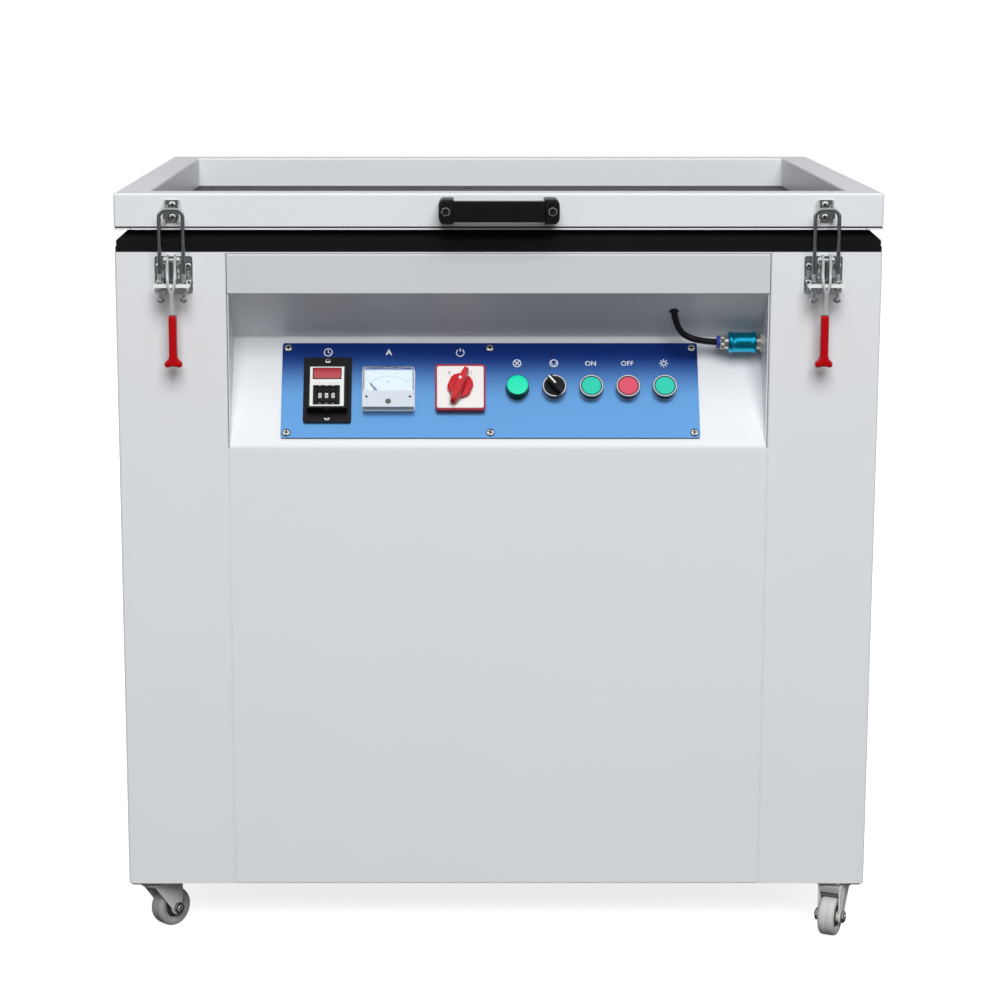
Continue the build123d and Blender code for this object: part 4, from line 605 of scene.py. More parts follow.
aside = maths(sky, "ABSOLUTE", direction["X"])
fromStrip = maths(sky, "ABSOLUTE", maths(sky, "SUBTRACT", aside, studio["strip"]))
strip = spread(sky, fromStrip, 0.14, 0.06, "SMOOTHSTEP", studio["stripLight"])
shine = background(mixed(sky, 1.0, skyRamp(glossSky), strip, "LIGHTEN"))


def shownRays(tree):
    ray = node(tree, "ShaderNodeLightPath").outputs
    return ray["Is Glossy Ray"], maths(tree, "MAXIMUM", ray["Is Camera Ray"], ray["Is Transmission Ray"])


glossy, seen = shownRays(sky)
lit = node(sky, "ShaderNodeMixShader", Fac=glossy, i1=background(skyRamp(softSky)), i2=shine).outputs[0]
shown = node(sky, "ShaderNodeMixShader", Fac=seen, i1=lit, i2=background((1, 1, 1, 1)))
node(sky, "ShaderNodeOutputWorld", Surface=shown.outputs[0])

key = bpy.data.lights.new("key", "AREA")
key.shape = "SQUARE"
key.size = studio["keySize"]
key.energy = studio["key"]
softbox = bpy.data.objects.new("key", key)
softbox.location = studio["keyPlace"]
aim = Vector(studio["keyTarget"]) - Vector(studio["keyPlace"])
softbox.rotation_euler = aim.to_track_quat("-Z", "Y").to_euler()
softbox.visible_glossy = False
scene.collection.objects.link(softbox)

bm = bmesh.new()
bmesh.ops.create_grid(bm, x_segments=8, y_segments=8, size=studio["floorSize"])
floorMesh = bpy.data.meshes.new("floor")
bm.to_mesh(floorMesh)
bm.free()
floor = bpy.data.objects.new("floor", floorMesh)
scene.collection.objects.link(floor)
paper = bpy.data.materials.new("studioPaper")
paper.use_nodes = True
tree = paper.node_tree
tree.nodes.clear()
white = node(tree, "ShaderNodeBsdfDiffuse", Color=(*[studio["paper"]] * 3, 1))
glow = node(tree, "ShaderNodeEmission", Color=(1, 1, 1, 1), Strength=studio["glow"])
bright = node(tree, "ShaderNodeAddShader", i0=white.outputs[0], i1=glow.outputs[0])
dark = node(tree, "ShaderNodeBsdfDiffuse", Color=(*[studio["floorDark"]] * 3, 1))
sheet = node(tree, "ShaderNodeMixShader", Fac=shownRays(tree)[1], i1=dark.outputs[0], i2=bright.outputs[0])
node(tree, "ShaderNodeOutputMaterial", Surface=sheet.outputs[0])
floorMesh.materials.append(paper)
scene.view_settings.view_transform = "Standard"
scene.view_settings.look = "None"
print("studio ready")

# vacuum hose, on the route that the CAD's tube follows
hose = {"radius": 4.0, "valveLeft": 285.0, "axisIn": 50.0, "axisUp": 753.6, "holeX": 216.3, "holeIn": 34.0,
        "holeUp": 793.46, "portIn": 52.5, "portEnd": 854.5, "length": 0.1536, "exitStep": 14.0}
hoseRoute = [
    (hose["valveLeft"] - 3, hose["axisIn"], hose["axisUp"]),
    (hose["valveLeft"] - 30, hose["axisIn"], hose["axisUp"]),
    (hose["valveLeft"] - 58, hose["axisIn"] - 5, hose["axisUp"] + 10),
    (hose["holeX"] + 1, hose["holeIn"] + 1, hose["holeUp"] - 9),
    (hose["holeX"] - 1, hose["holeIn"] + 3, hose["holeUp"] + 18),
    (hose["holeX"], hose["portIn"], hose["portEnd"] - 16),
    (hose["holeX"], hose["portIn"], hose["portEnd"]),
]
hoseCurve = bpy.data.curves.new("vacuumHose", "CURVE")
hoseCurve.dimensions = "3D"
hoseLine = hoseCurve.splines.new("NURBS")
hoseLine.points.add(len(hoseRoute) - 1)
for point, (x, deep, z) in zip(hoseLine.points, hoseRoute):
    point.co = (x * mm, (unit["front"] + deep) * mm, z * mm, 1)
hoseLine.order_u = 3
hoseLine.use_endpoint_u = True
hoseLine.resolution_u = 10
hoseCurve.bevel_depth = hose["radius"] * mm
hoseCurve.bevel_resolution = 6
hoseCurve.use_fill_caps = True
hoseCurve.materials.append(materials["black_hose"])
vacuumHose = bpy.data.objects.new("vacuumHose", hoseCurve)
scene.collection.objects.link(vacuumHose)
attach(vacuumHose, "cabinet")
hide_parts("vacuum_hose")
print("hose")

# rubber blanket: pulled over the clamps, slack enough to ripple
blanket = {"width": 928.0, "depth": 718.0, "level": 900.0, "thick": 1.96, "rail": 41.0, "ramp": 60.0,
           "ripple": 0.8, "columns": 78, "rows": 60}
bm = bmesh.new()
bmesh.ops.create_grid(bm, x_segments=blanket["columns"], y_segments=blanket["rows"], size=0.5)
for vert in bm.verts:
    x, y = vert.co.x * blanket["width"], vert.co.y * blanket["depth"]
    inside = min(blanket["width"] / 2 - abs(x), blanket["depth"] / 2 - abs(y)) - blanket["rail"]
    rise = max(0.0, min(1.0, inside / blanket["ramp"]))
    wave = math.sin(x / 31 + 1.7 * math.sin(y / 57)) * math.sin(y / 43 + 1.3 * math.sin(x / 83))
    fold = math.exp(-((y - 0.25 * x + 60) / 9) ** 2) + math.exp(-((y + 0.4 * x - 120) / 8) ** 2)
    lift = blanket["ripple"] * rise * (0.55 * wave + 0.45 * fold)
    vert.co = Vector((x, y + unit["middle"], blanket["level"] + lift)) * mm
rubber = piece("rubberSheet", bm, "lid", "black_rubber", replaced=("rubber_blanket",))
thickness = rubber.modifiers.new("thickness", "SOLIDIFY")
thickness.thickness = blanket["thick"] * mm
thickness.offset = 0
print("rubber sheet")

# cross-head screws, one cut master copied to every place
screw = {"radius": 4.6, "dome": 1.9, "slot": 1.5, "reach": 3.0, "deep": 1.2}


def screwHeads(name, rider, places, radius=screw["radius"], dome=screw["dome"]):
    scale = radius / screw["radius"]
    arm, wide, deep = screw["reach"] * scale, screw["slot"] * scale / 2, screw["deep"] * scale
    domeTurns = [math.radians(angle) for angle in range(12, 91, 13)]
    profile = [(0, dome)] + [(radius * math.sin(a), dome * (0.35 + 0.65 * math.cos(a))) for a in domeTurns]
    profile += [(radius, dome * 0.3), (radius * 0.97, 0.0), (0, 0.0)]
    master = bmesh.new()
    lathe(master, Matrix.Scale(mm, 4), profile, steps=28)
    cross = [(wide, arm), (-wide, arm), (-wide, wide), (-arm, wide), (-arm, -wide), (-wide, -wide),
             (-wide, -arm), (wide, -arm), (wide, -wide), (arm, -wide), (arm, wide), (wide, wide)]
    cutter = bmesh.new()
    prism(cutter, Matrix.Scale(mm, 4), cross, dome - deep, dome + 1)
    shaped = cutAway(master, cutter)
    rim = [(radius * 0.96, 0.02), (radius + 0.75, 0.02), (radius + 0.7, 0.14), (radius * 0.96, 0.14)]
    shade, bm = bmesh.new(), bmesh.new()
    spin = random.Random(len(name))
    for place in places:
        turned = place @ Matrix.Rotation(spin.uniform(0, math.pi / 2), 4, "Z")
        copy = shaped.copy()
        copy.transform(turned @ Matrix.Scale(1000, 4))
        bm.from_mesh(copy)
        bpy.data.meshes.remove(copy)
        # painted shadow: dark pieces in the recess and under the rim
        prism(shade, turned, [(a * 0.97, b * 0.97) for a, b in cross], dome - deep - 0.05, dome - 0.65 * deep)
        lathe(shade, turned, rim, steps=28, closed=True)
    piece(name + "Shade", shade, rider, "black_plastic", "paintedShadow")
    return piece(name, bm, rider, "zinc_plate", smooth=38)


panel = {"u": -9.1, "v": 75.85, "width": 516.0, "height": 129.0, "screwU": 251.0, "screwV": 57.5}
panelScrews = screwHeads("panelScrewHeads", "cabinet", [
    onPanel(panel["u"] + column * panel["screwU"], panel["v"] + row * panel["screwV"])
    for column in (-1, 0, 1) for row in (-1, 1)
])
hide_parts("panel_screws")

# painted shadow: a dark navy line along the plate's lower edge
bm = bmesh.new()
plateHalf, plateFoot = panel["width"] / 2 - 1, panel["v"] - panel["height"] / 2 - 0.35
stroke(bm, onPanel(panel["u"], plateFoot, -1.0), [(-plateHalf, 0), (plateHalf, 0)], 0.9, -0.4, 0.95)
piece("plateEdgeShadow", bm, "cabinet", "blue_enamel", "edgeShadowNavy")

# timer: bezel screws, printed face, display, key block
timer = {"u": -210.3, "v": 74.95, "screwV": 38.9, "faceV": 73.05, "reach": 17.0, "faceSide": 21.0,
         "faceEnd": 26.6, "display": 17.5, "keyV": 61.35, "pitch": 8.1, "shift": -0.4, "floor": 14.5,
         "blockSide": 16.5, "blockEnd": 12.8, "slotSide": 3.0, "slotEnd": 10.8, "digits": "060"}
keyU, displayV = timer["u"] + timer["shift"], timer["faceV"] + timer["display"]
blockSide, blockEnd = timer["blockSide"], timer["blockEnd"]
slotSide, slotEnd = timer["slotSide"], timer["slotEnd"]
faceSide, pitch, timerReach = timer["faceSide"], timer["pitch"], timer["reach"]
screwHeads("timerScrewHeads", "cabinet", [
    onPanel(timer["u"], timer["v"] + side * timer["screwV"], 3.5) for side in (-1, 1)
], radius=3.6, dome=1.5)
bm = bmesh.new()
keyEnds = (timer["keyV"] - blockEnd, timer["keyV"] + blockEnd)
for sides, ends in (
    ((-faceSide, faceSide), (keyEnds[1], timer["faceV"] + timer["faceEnd"])),
    ((-faceSide, faceSide), (timer["faceV"] - timer["faceEnd"], keyEnds[0])),
    ((-faceSide, timer["shift"] - blockSide), keyEnds), ((timer["shift"] + blockSide, faceSide), keyEnds),
):
    slab(bm, onPanel(timer["u"], 0, timerReach), sides, ends, -0.1, 0.25)
piece("timerFace", bm, "cabinet", "black_plastic", "faceWhite")
bm = bmesh.new()
displayPlace = onPanel(timer["u"], displayV, timerReach)
prism(bm, displayPlace, roundedRect(35.6, 15.6, 0.8), 0.2, 0.55, edge=0.15)
keyPlace = onPanel(keyU, timer["keyV"], timerReach)
for sides in ((-blockSide, -pitch - slotSide), (-pitch + slotSide, -slotSide),
              (slotSide, pitch - slotSide), (pitch + slotSide, blockSide)):
    slab(bm, keyPlace, sides, (-slotEnd, slotEnd), 0.2, 1.7, edge=0.25)
for ends in ((slotEnd, blockEnd), (-blockEnd, -slotEnd)):
    slab(bm, keyPlace, (-blockSide, blockSide), ends, 0.2, 1.7, edge=0.3)
piece("timerFrames", bm, "cabinet", "black_plastic")
bm = bmesh.new()
prism(bm, displayPlace, roundedRect(33.4, 13.4, 0.5), 0.5, 0.75, edge=0.1)
piece("timerDisplay", bm, "cabinet", "red_plastic", "displayRed")
for number, digit in enumerate(timer["digits"], 1):
    spot = onPanel(keyU + (number - 2) * pitch, timer["keyV"] + 0.5, timer["floor"])
    bm = bmesh.new()
    prism(bm, spot, roundedRect(3.9, 6.4, 0.3), -0.05, 0.2)
    piece(f"timerCard_{number}", bm, f"timer_rocker_{number}", "white_plastic", "faceWhite")
    bm = bmesh.new()
    lettering(bm, spot, digit, 6.0, 0.18, 0.26)
    piece(f"timerDigit_{number}", bm, f"timer_rocker_{number}", "black_plastic", "blackInkAndShade", smooth=0)
bm = bmesh.new()
for step in (-1, 0, 1):
    for side in (-1, 1):
        spot = onPanel(keyU + step * pitch, timer["keyV"] + side * 11.8, timerReach)
        stroke(bm, spot, [(-1.2, 0), (1.2, 0)], 0.5, 1.65, 1.76)
piece("timerKeySigns", bm, "cabinet", "white_plastic", "inkWhite", smooth=0)
bm = bmesh.new()
for k in range(7):
    across = -14 + 4.6 * k
    stroke(bm, onPanel(timer["u"], 77.6, timerReach), [(across, -0.9), (across, 0.9)], 0.35, 0.2, 0.32)
piece("timerFigures", bm, "cabinet", "black_plastic", "blackInkAndShade", smooth=0)
print("timer")

# ammeter: dial, scale, figures, zero screw and ribbed lower front
meter = {"u": -134.8, "pivotV": 54.4, "dialV": 84.35, "signV": 83.6, "dialReach": 6.5, "reach": 14.0,
         "radius": 36.5, "figureRadius": 41.6, "half": 40.0, "ticks": 30, "figures": ("0", "10", "20", "30"),
         "zeroV": 54.3, "screwU": 26.8, "screwV": 60.7}
scaleInk = (0.28, 0.36)


def meterAngle(share):
    return math.radians(90 + meter["half"] - 2 * meter["half"] * share)


coat("ammeter_case", "caseWhite")
pivot = onPanel(meter["u"], meter["pivotV"], meter["dialReach"])
bm = bmesh.new()
prism(bm, onPanel(meter["u"], meter["dialV"], meter["dialReach"]), roundedRect(58.6, 29.2, 0.6), 0.02, 0.3)
piece("ammeterDial", bm, "cabinet", "white_plastic", "dialHaze")
bm = bmesh.new()
stroke(bm, pivot, arc(meter["radius"], 90 - meter["half"], 90 + meter["half"], 48), 0.35, *scaleInk)
for tick in range(meter["ticks"] + 1):
    long, wide = (3.2, 0.45) if tick % 5 == 0 else (1.7, 0.25)
    line = spoke(meterAngle(tick / meter["ticks"]), meter["radius"], meter["radius"] + long)
    stroke(bm, pivot, line, wide, *scaleInk)
for number, figure in enumerate(meter["figures"]):
    angle = meterAngle(number / 3)
    u, v = meter["figureRadius"] * math.cos(angle), meter["figureRadius"] * math.sin(angle) + 0.6
    lettering(bm, onPanel(meter["u"] + u, meter["pivotV"] + v, meter["dialReach"]), figure, 3.6, *scaleInk)
lettering(bm, onPanel(meter["u"], meter["signV"], meter["dialReach"]), "A", 6.0, *scaleInk)
piece("ammeterScale", bm, "cabinet", "black_plastic", "inkFaint", smooth=0)
# the ribs are flat strokes in a darker tint: painted shade
bm = bmesh.new()
lowerPlace = onPanel(meter["u"], 0, meter["reach"])
for k in range(25):
    stroke(bm, lowerPlace, [(-30 + 2.5 * k, 48.6), (-30 + 2.5 * k, 67.8)], 0.4, -0.02, 0.1)
for k in range(8):
    stroke(bm, lowerPlace, [(-30.6, 48.8 + 2.7 * k), (30.6, 48.8 + 2.7 * k)], 0.3, -0.02, 0.08)
piece("ammeterRibs", bm, "cabinet", "white_plastic", "ribShade")
turnedPiece(
    "ammeterZeroScrew", "cabinet", "black_plastic", [onPanel(meter["u"], meter["zeroV"], meter["reach"])],
    [(0, 1.9), (2.6, 1.7), (3.4, 1.0), (3.6, 0.1), (3.6, -0.2)], "zeroGrey",
)
# painted shade: dark bars and discs stand for the shade in the screw slots
bm = bmesh.new()
stroke(bm, onPanel(meter["u"], meter["zeroV"], meter["reach"], 0.6), [(-2.9, 0), (2.9, 0)], 0.8, 1.5, 2.0)
for side in (-1, 1):
    spot = onPanel(meter["u"] + side * meter["screwU"], meter["screwV"], meter["reach"])
    lathe(bm, spot, [(0, 0.5), (1.2, 0.45), (1.6, 0.0)], steps=20)
piece("ammeterSlotShade", bm, "cabinet", "black_plastic", "blackInkAndShade")
print("ammeter")

# cam switch: red frame, white plate, figures, scalloped knob
cam = {"u": -46.0, "v": 76.45, "reach": 8.0, "angle": 68.5, "radius": 16.0, "bite": 1.3, "scallop": 0.25,
       "top": 19.9, "figures": (("0", -59.5, 95.6), ("1", -32.2, 95.8))}
coat("cam_switch_body", "plateRed")
bm = bmesh.new()
prism(bm, onPanel(cam["u"], cam["v"], cam["reach"]), roundedRect(57.5, 56.6, 2.5), -0.3, 0.5, edge=0.2)
piece("camSwitchPlate", bm, "cabinet", "white_plastic")
bm = bmesh.new()
for figure, u, v in cam["figures"]:
    lettering(bm, onPanel(u, v, cam["reach"]), figure, 6.4, 0.48, 0.56)
piece("camSwitchFigures", bm, "cabinet", "black_plastic", "inkGrey", smooth=0)
bm = bmesh.new()
knobPlace = onPanel(cam["u"], cam["v"], cam["reach"], math.radians(cam["angle"]))
outline = []
for a, b in ring(1.0, 72):
    angle = math.atan2(b, a)
    bite = cam["bite"] * max(0.0, math.cos(2 * angle - math.pi)) ** 6 + cam["scallop"] * math.cos(18 * angle)
    outline.append(((cam["radius"] - bite) * a, (cam["radius"] - bite) * b))
prism(bm, knobPlace, outline, 0.6, 7.4, edge=1.3, segments=3)
rows = []
for up, lowEnd, highEnd, end, middle, drop in (
    (7.0, 26.6, 21.4, 4.2, 7.4, 0.0), (17.5, 26.0, 20.4, 3.3, 5.4, 4.0),
    (cam["top"], 23.5, 19.4, 2.4, 4.4, 4.0),
):
    half = [
        (-lowEnd, end * 0.8, up - drop), (-lowEnd * 0.5, middle, up - drop * 0.3), (0, middle * 0.95, up),
        (highEnd * 0.5, middle * 0.75, up), (highEnd, end * 0.8, up),
    ]
    whole = [(a, -b, h) for a, b, h in half] + half[::-1]
    rows.append([knobPlace @ Vector(point) for point in whole])
loops = loft(bm, rows)
for loop in (loops[0][::-1], loops[-1]):
    bm.faces.new(loop)
camKnob = piece("camSwitchKnob", bm, "cam_switch_knob", "red_plastic", replaced=("cam_switch_knob",))
rounded = camKnob.modifiers.new("edges", "BEVEL")
rounded.width = 0.7 * mm
rounded.segments = 3
rounded.limit_method = "ANGLE"
plugPlace = onPanel(cam["u"], cam["v"], cam["reach"] + cam["top"]) @ Matrix.Translation((-0.2, 4.2, 0))
turnedPiece("camSwitchPlug", "cam_switch_knob", "white_plastic", [plugPlace],
            [(0, 0.14), (1.8, 0.14), (2.0, -0.1)], "faceWhite", 20)
print("cam switch")

# push buttons, lamp and selector
operators = {"places": (24.6, 70.3, 116.0, 161.4, 206.8), "v": 77.45, "selectorTurn": 130}
lampPlace, *ringPlaces = [onPanel(u, operators["v"]) for u in operators["places"]]
bm = bmesh.new()
for place in ringPlaces:
    lathe(bm, place, [(14.6, 9.3), (14.6, 9.75), (14.3, 10.1), (13.5, 10.1), (13.2, 9.85), (13.2, 9.3)],
          steps=56, closed=True)
    lathe(bm, place, [(15.0, 0.0), (15.35, 0.3), (15.35, 1.0), (15.0, 1.4), (14.8, 0.7)],
          steps=56, closed=True)
piece("operatorBezels", bm, "cabinet", "chromed_rod", "satinMetal")
turnedPiece("operatorSeals", "cabinet", "black_plastic", ringPlaces,
            [(12.35, 9.2), (12.3, 8.9), (11.6, 8.7), (11.6, 8.4), (12.3, 8.2)], "blackInkAndShade", 48, closed=True)
# painted shade: the operator rings get a darkened metal
coat("operator_rings", "ringShade")
capProfile = [(0, 10.12), (6, 10.16), (10.6, 10.2), (11.3, 10.05), (11.75, 9.6), (11.9, 9.0),
              (11.9, 6.5), (0, 6.5)]
for name, place, slotName, material in (
    ("on_button", ringPlaces[1], "green_plastic", "green_plastic"),
    ("off_button", ringPlaces[2], "red_plastic", "buttonRed"),
    ("expose_button", ringPlaces[3], "green_plastic", "green_plastic"),
):
    turnedPiece(name + "Cap", name, slotName, [place], capProfile, material, 56)
    coat(name, material)
turnedPiece("indicatorFace", "cabinet", "green_plastic", [lampPlace],
            [(0, 12.8), (7, 12.8), (12.4, 12.7), (13.0, 12.45), (13.1, 12.2)], "lampGreen", 56)
# painted shade: the lens body gets a darker green than its face
coat("indicator_lens", "lensSide")
turnedPiece("indicatorSeat", "cabinet", "black_plastic", [lampPlace],
            [(14.6, 0.0), (14.6, 1.0), (14.2, 1.3), (13.9, 1.3)], steps=48)
bm = bmesh.new()
selectorPlace = onPanel(operators["places"][1], operators["v"], 0, math.radians(operators["selectorTurn"]))
stroke(bm, selectorPlace, [(-1.5, 0), (11.5, 0)], 2.2, 20.95, 21.12)
piece("selectorLine", bm, "selector_knob", "white_plastic", "faceWhite")
print("operators")

# printed marks: plain pictograms and words
marks = {"low": 0.0, "high": 0.06, "width": 0.9, "upper": 127.6, "powerV": 127.0, "currentV": 127.2,
         "lower": 112.5, "wordV": 112.0}
bm = bmesh.new()


def mark(points, u, v, size, closed=False):
    line = [(a * size, b * size) for a, b in points]
    stroke(bm, onPanel(u, v), line, marks["width"], marks["low"], marks["high"], closed)


def word(text, u, v, size):
    lettering(bm, onPanel(u, v), text, size, marks["low"], marks["high"])


lampU, pumpU, onU, offU, exposeU = operators["places"]
mark(ring(1.0, 28), timer["u"], marks["upper"], 5.0, closed=True)  # clock
mark([(0, 0.72), (0, 0), (0.5, -0.3)], timer["u"], marks["upper"], 5.0)
word("A", meter["u"], marks["currentV"], 12.0)
mark(arc(1.0, 122, 418, 28), cam["u"], marks["powerV"], 4.8)  # power
mark([(0, 0.35), (0, 1.25)], cam["u"], marks["powerV"], 4.8)
mark(ring(1.0, 28), lampU, marks["lower"], 4.8, closed=True)  # lamp
mark([(-0.68, -0.68), (0.68, 0.68)], lampU, marks["lower"], 4.8)
mark([(-0.68, 0.68), (0.68, -0.68)], lampU, marks["lower"], 4.8)
mark(ring(1.0, 28), pumpU, marks["lower"], 4.8, closed=True)  # pump
mark([(-0.86, 0.5), (0.0, -1.0), (0.86, 0.5)], pumpU, marks["lower"], 4.8)
word("ON", onU, marks["wordV"], 9.0)
word("OFF", offU, marks["wordV"], 9.0)
mark(ring(0.5, 20), exposeU, marks["lower"], 5.2, closed=True)  # sun
for k in range(8):
    mark(spoke(math.pi / 4 * k, 0.72, 1.08), exposeU, marks["lower"], 5.2)
piece("panelMarks", bm, "cabinet", "white_plastic", "inkWhite", smooth=0, weld=False)
print("panel marks")

# toggle latches: screws, threads, nut faces and the pin's rivet heads
latch = {"x": 393.5, "pivotZ": 862.0, "pivotReach": 22.0, "barReach": 25.0, "throwZ": 832.0, "leg": 14.3,
         "plateZ": 843.5, "catches": (912.0, 927.0), "nuts": (833.75, 826.25, 812.5), "threadFoot": 811.4,
         "threadPitch": 0.85, "threadTurns": 40}
threadProfile = [(2.3, latch["threadFoot"] - 0.1)]
for k in range(latch["threadTurns"]):
    low = latch["threadFoot"] + latch["threadPitch"] * k
    threadProfile += [(2.42, low), (2.74, low + 0.32), (2.74, low + 0.5)]
threadProfile.append((2.3, 845.8))
nutProfile = [(3.1, -0.02), (4.7, -0.02), (5.1, 0.6), (5.1, 3.4), (4.7, 4.02), (3.1, 4.02)]
rivetProfile = [(4.0, 0.0), (4.1, 0.5), (3.7, 1.3), (2.6, 1.9), (0, 2.1)]
armLine = (  # across, reach and height
    (4.4, 31.2, 866.5), (4.5, 31.8, 860), (4.5, 32.0, 848), (4.4, 33.6, 843), (4.2, 34.9, 838),
    (3.6, 35.0, 832), (2.1, 34.9, 827), (1.1, 34.2, 822), (1.0, 32.4, 812), (1.0, 31.8, 804),
    (1.0, 31.6, 797.5),
)
armRadii = [1.5] + [1.8] * 9 + [1.7]
gripRows = (  # height, half width, half depth and the notch's lift
    (796.2, 4.7, 6.0, 0), (795.2, 5.6, 7.2, 0), (780, 5.5, 7.2, 0), (755, 5.5, 7.2, 0), (746.5, 5.6, 7.0, 0),
    (742.8, 6.6, 6.8, 0), (739.5, 11.4, 6.4, 0.4), (734.6, 12.2, 6.2, 1.6), (731.6, 8.6, 4.6, 3.6),
)
barY = unit["front"] - latch["barReach"]
for side, sign in hand.items():
    x = sign * latch["x"]
    bail, lever = "latch_bail_" + side, "latch_lever_" + side
    screwHeads(side + "LatchScrews", "cabinet", [
        onFront(x + across * 18, latch["plateZ"] + up * 10, 2.5) for across in (-1, 1) for up in (-1, 1)
    ], radius=3.9, dome=2.6)
    screwHeads(side + "CatchScrews", "lid", [
        onFront(x, z, 2.0) for z in latch["catches"]
    ], radius=4.7, dome=3.1)
    turnedPiece(side + "BailThreads", bail, "zinc_plate", [
        upright(x + leg * latch["leg"], barY, 0) for leg in (-1, 1)
    ], threadProfile, steps=18)
    turnedPiece(side + "BailNuts", bail, "zinc_plate", [
        upright(x + leg * latch["leg"], barY, low, 0.3 * leg) for leg in (-1, 1) for low in latch["nuts"]
    ], nutProfile, steps=6, closed=True, smooth=20)
    turnedPiece(side + "PivotRivets", "cabinet", "zinc_plate", [
        sideways(x + end * 8.4, unit["front"] - latch["pivotReach"], latch["pivotZ"], end) for end in (-1, 1)
    ], rivetProfile, steps=28)
    # painted highlight: pale strips laid over the zinc cross plate
    bm = bmesh.new()
    prism(bm, onFront(x, latch["throwZ"], 31.9), roundedRect(43.6, 4.0, 0.8, 3), 0.0, 0.45)
    prism(bm, upright(x, barY, latch["throwZ"]), roundedRect(43.2, 13.8, 0.8, 2), 1.5, 1.78)
    piece(side + "CrossPlateHighlight", bm, bail, "zinc_plate", "crossHighlight")
    # the lever's two arms bow round the cross plate and close on the blade
    bm = bmesh.new()
    for arm in (-1, 1):
        wire(bm, [(x + arm * across, unit["front"] - out, z) for across, out, z in armLine], armRadii)
    # painted highlight: the arms are drawn in a lighter zinc
    piece(side + "LeverArms", bm, lever, "zinc_plate", "leverHighlight", smooth=60)
    # dipped grip with a two-lobed end
    bm = bmesh.new()
    rows = [[
        Vector((x + a, barY + b, z + (lift if a == 0 else 0))) * mm for a, b in (
            (-half, 0), (-half * 0.8, -deep), (0, -deep), (half * 0.8, -deep),
            (half, 0), (half * 0.8, deep), (0, deep), (-half * 0.8, deep),
        )
    ] for z, half, deep, lift in gripRows]
    loops = loft(bm, rows)
    for loop in (loops[0], loops[-1]):
        bm.faces.new((loop[7], loop[0], loop[1], loop[2], loop[6]))
        bm.faces.new((loop[3], loop[4], loop[5], loop[6], loop[2]))
    grip = piece(side + "Grip", bm, lever, "red_vinyl", smooth=180, replaced=("latch_grip_" + side,))
    rounded = grip.modifiers.new("rounded", "SUBSURF")
    rounded.levels = 2
    rounded.render_levels = 2
    # painted shade: the bail gets a darkened zinc
    coat(bail, "rodZinc")
print("latches")

# lid handle: two blocks and a bar with rounded edges, and bolts sunk in the blocks
handle = {"bolt": 64.0, "z": 921.5, "reach": 32.0, "half": 72.5, "block": 18.0, "height": 30.0, "bar": 25.0,
          "deep": 38.0, "barDeep": 13.0, "sink": 6.2, "round": 6.0, "roundUp": 9.0,
          "boltTurns": ((-1, 0.25), (1, 0.62))}
inner, cornerX, foot = handle["half"] - handle["block"], handle["half"] - handle["round"], -handle["height"] / 2
blockLine = [(inner, foot), (cornerX, foot)]
for turn in (math.radians(angle) for angle in range(15, 91, 15)):
    along, lifted = handle["round"] * math.sin(turn), handle["roundUp"] * (1 - math.cos(turn))
    blockLine.append((cornerX + along, foot + lifted))
blockLine += [(a, -b) for a, b in reversed(blockLine)]
boreLine = [(0, -2), (3.2, -2), (3.2, handle["reach"]), (handle["sink"], handle["reach"]),
            (handle["sink"], handle["deep"] + 2), (0, handle["deep"] + 2)]
blocks, bore = bmesh.new(), bmesh.new()
for sign, outline in ((-1, [(-a, b) for a, b in reversed(blockLine)]), (1, blockLine)):
    prism(blocks, onFront(0, handle["z"]), outline, 0.0, handle["deep"], edge=3.4, segments=4)
    lathe(bore, onFront(sign * handle["bolt"], handle["z"]), boreLine, steps=40)
bm = bmesh.new()
bm.from_mesh(cutAway(blocks, bore))
bar = roundedRect(2 * inner + 1, handle["bar"], 0.8, 2)
barFoot, barFace = handle["deep"] - handle["barDeep"], handle["deep"] - 0.3
prism(bm, onFront(0, handle["z"]), bar, barFoot, barFace, edge=2.0, segments=4)
piece("handleGrip", bm, "lid", "black_plastic", smooth=40, replaced=("lid_handle",))
# painted shade and highlight: dark bolt heads with pale rings on their edges
bm, edges = bmesh.new(), bmesh.new()
for sign, turn in handle["boltTurns"]:
    spot = onFront(sign * handle["bolt"], handle["z"], handle["reach"]) @ Matrix.Rotation(turn, 4, "Z")
    lathe(bm, spot, [(0, 0), (6.0, 0), (6.1, 0.3), (6.0, 1.0), (0, 1.0)], steps=36)
    lathe(bm, spot, [(0, 1.0), (5.2, 1.0), (5.4, 1.5), (5.4, 5.0), (4.6, 5.6), (2.9, 5.7), (2.6, 5.0), (0, 5.0)],
          steps=6)
    lathe(edges, spot, [(6.1, 4.2), (6.1, 4.6), (5.1, 5.7), (4.7, 5.7), (5.4, 4.2)], steps=6, closed=True)
piece("handleBolts", bm, "lid", "zinc_plate", "boltDark", smooth=22)
piece("handleBoltHighlights", edges, "lid", "zinc_plate", "zincEdgeHighlight", smooth=22)
print("handle")

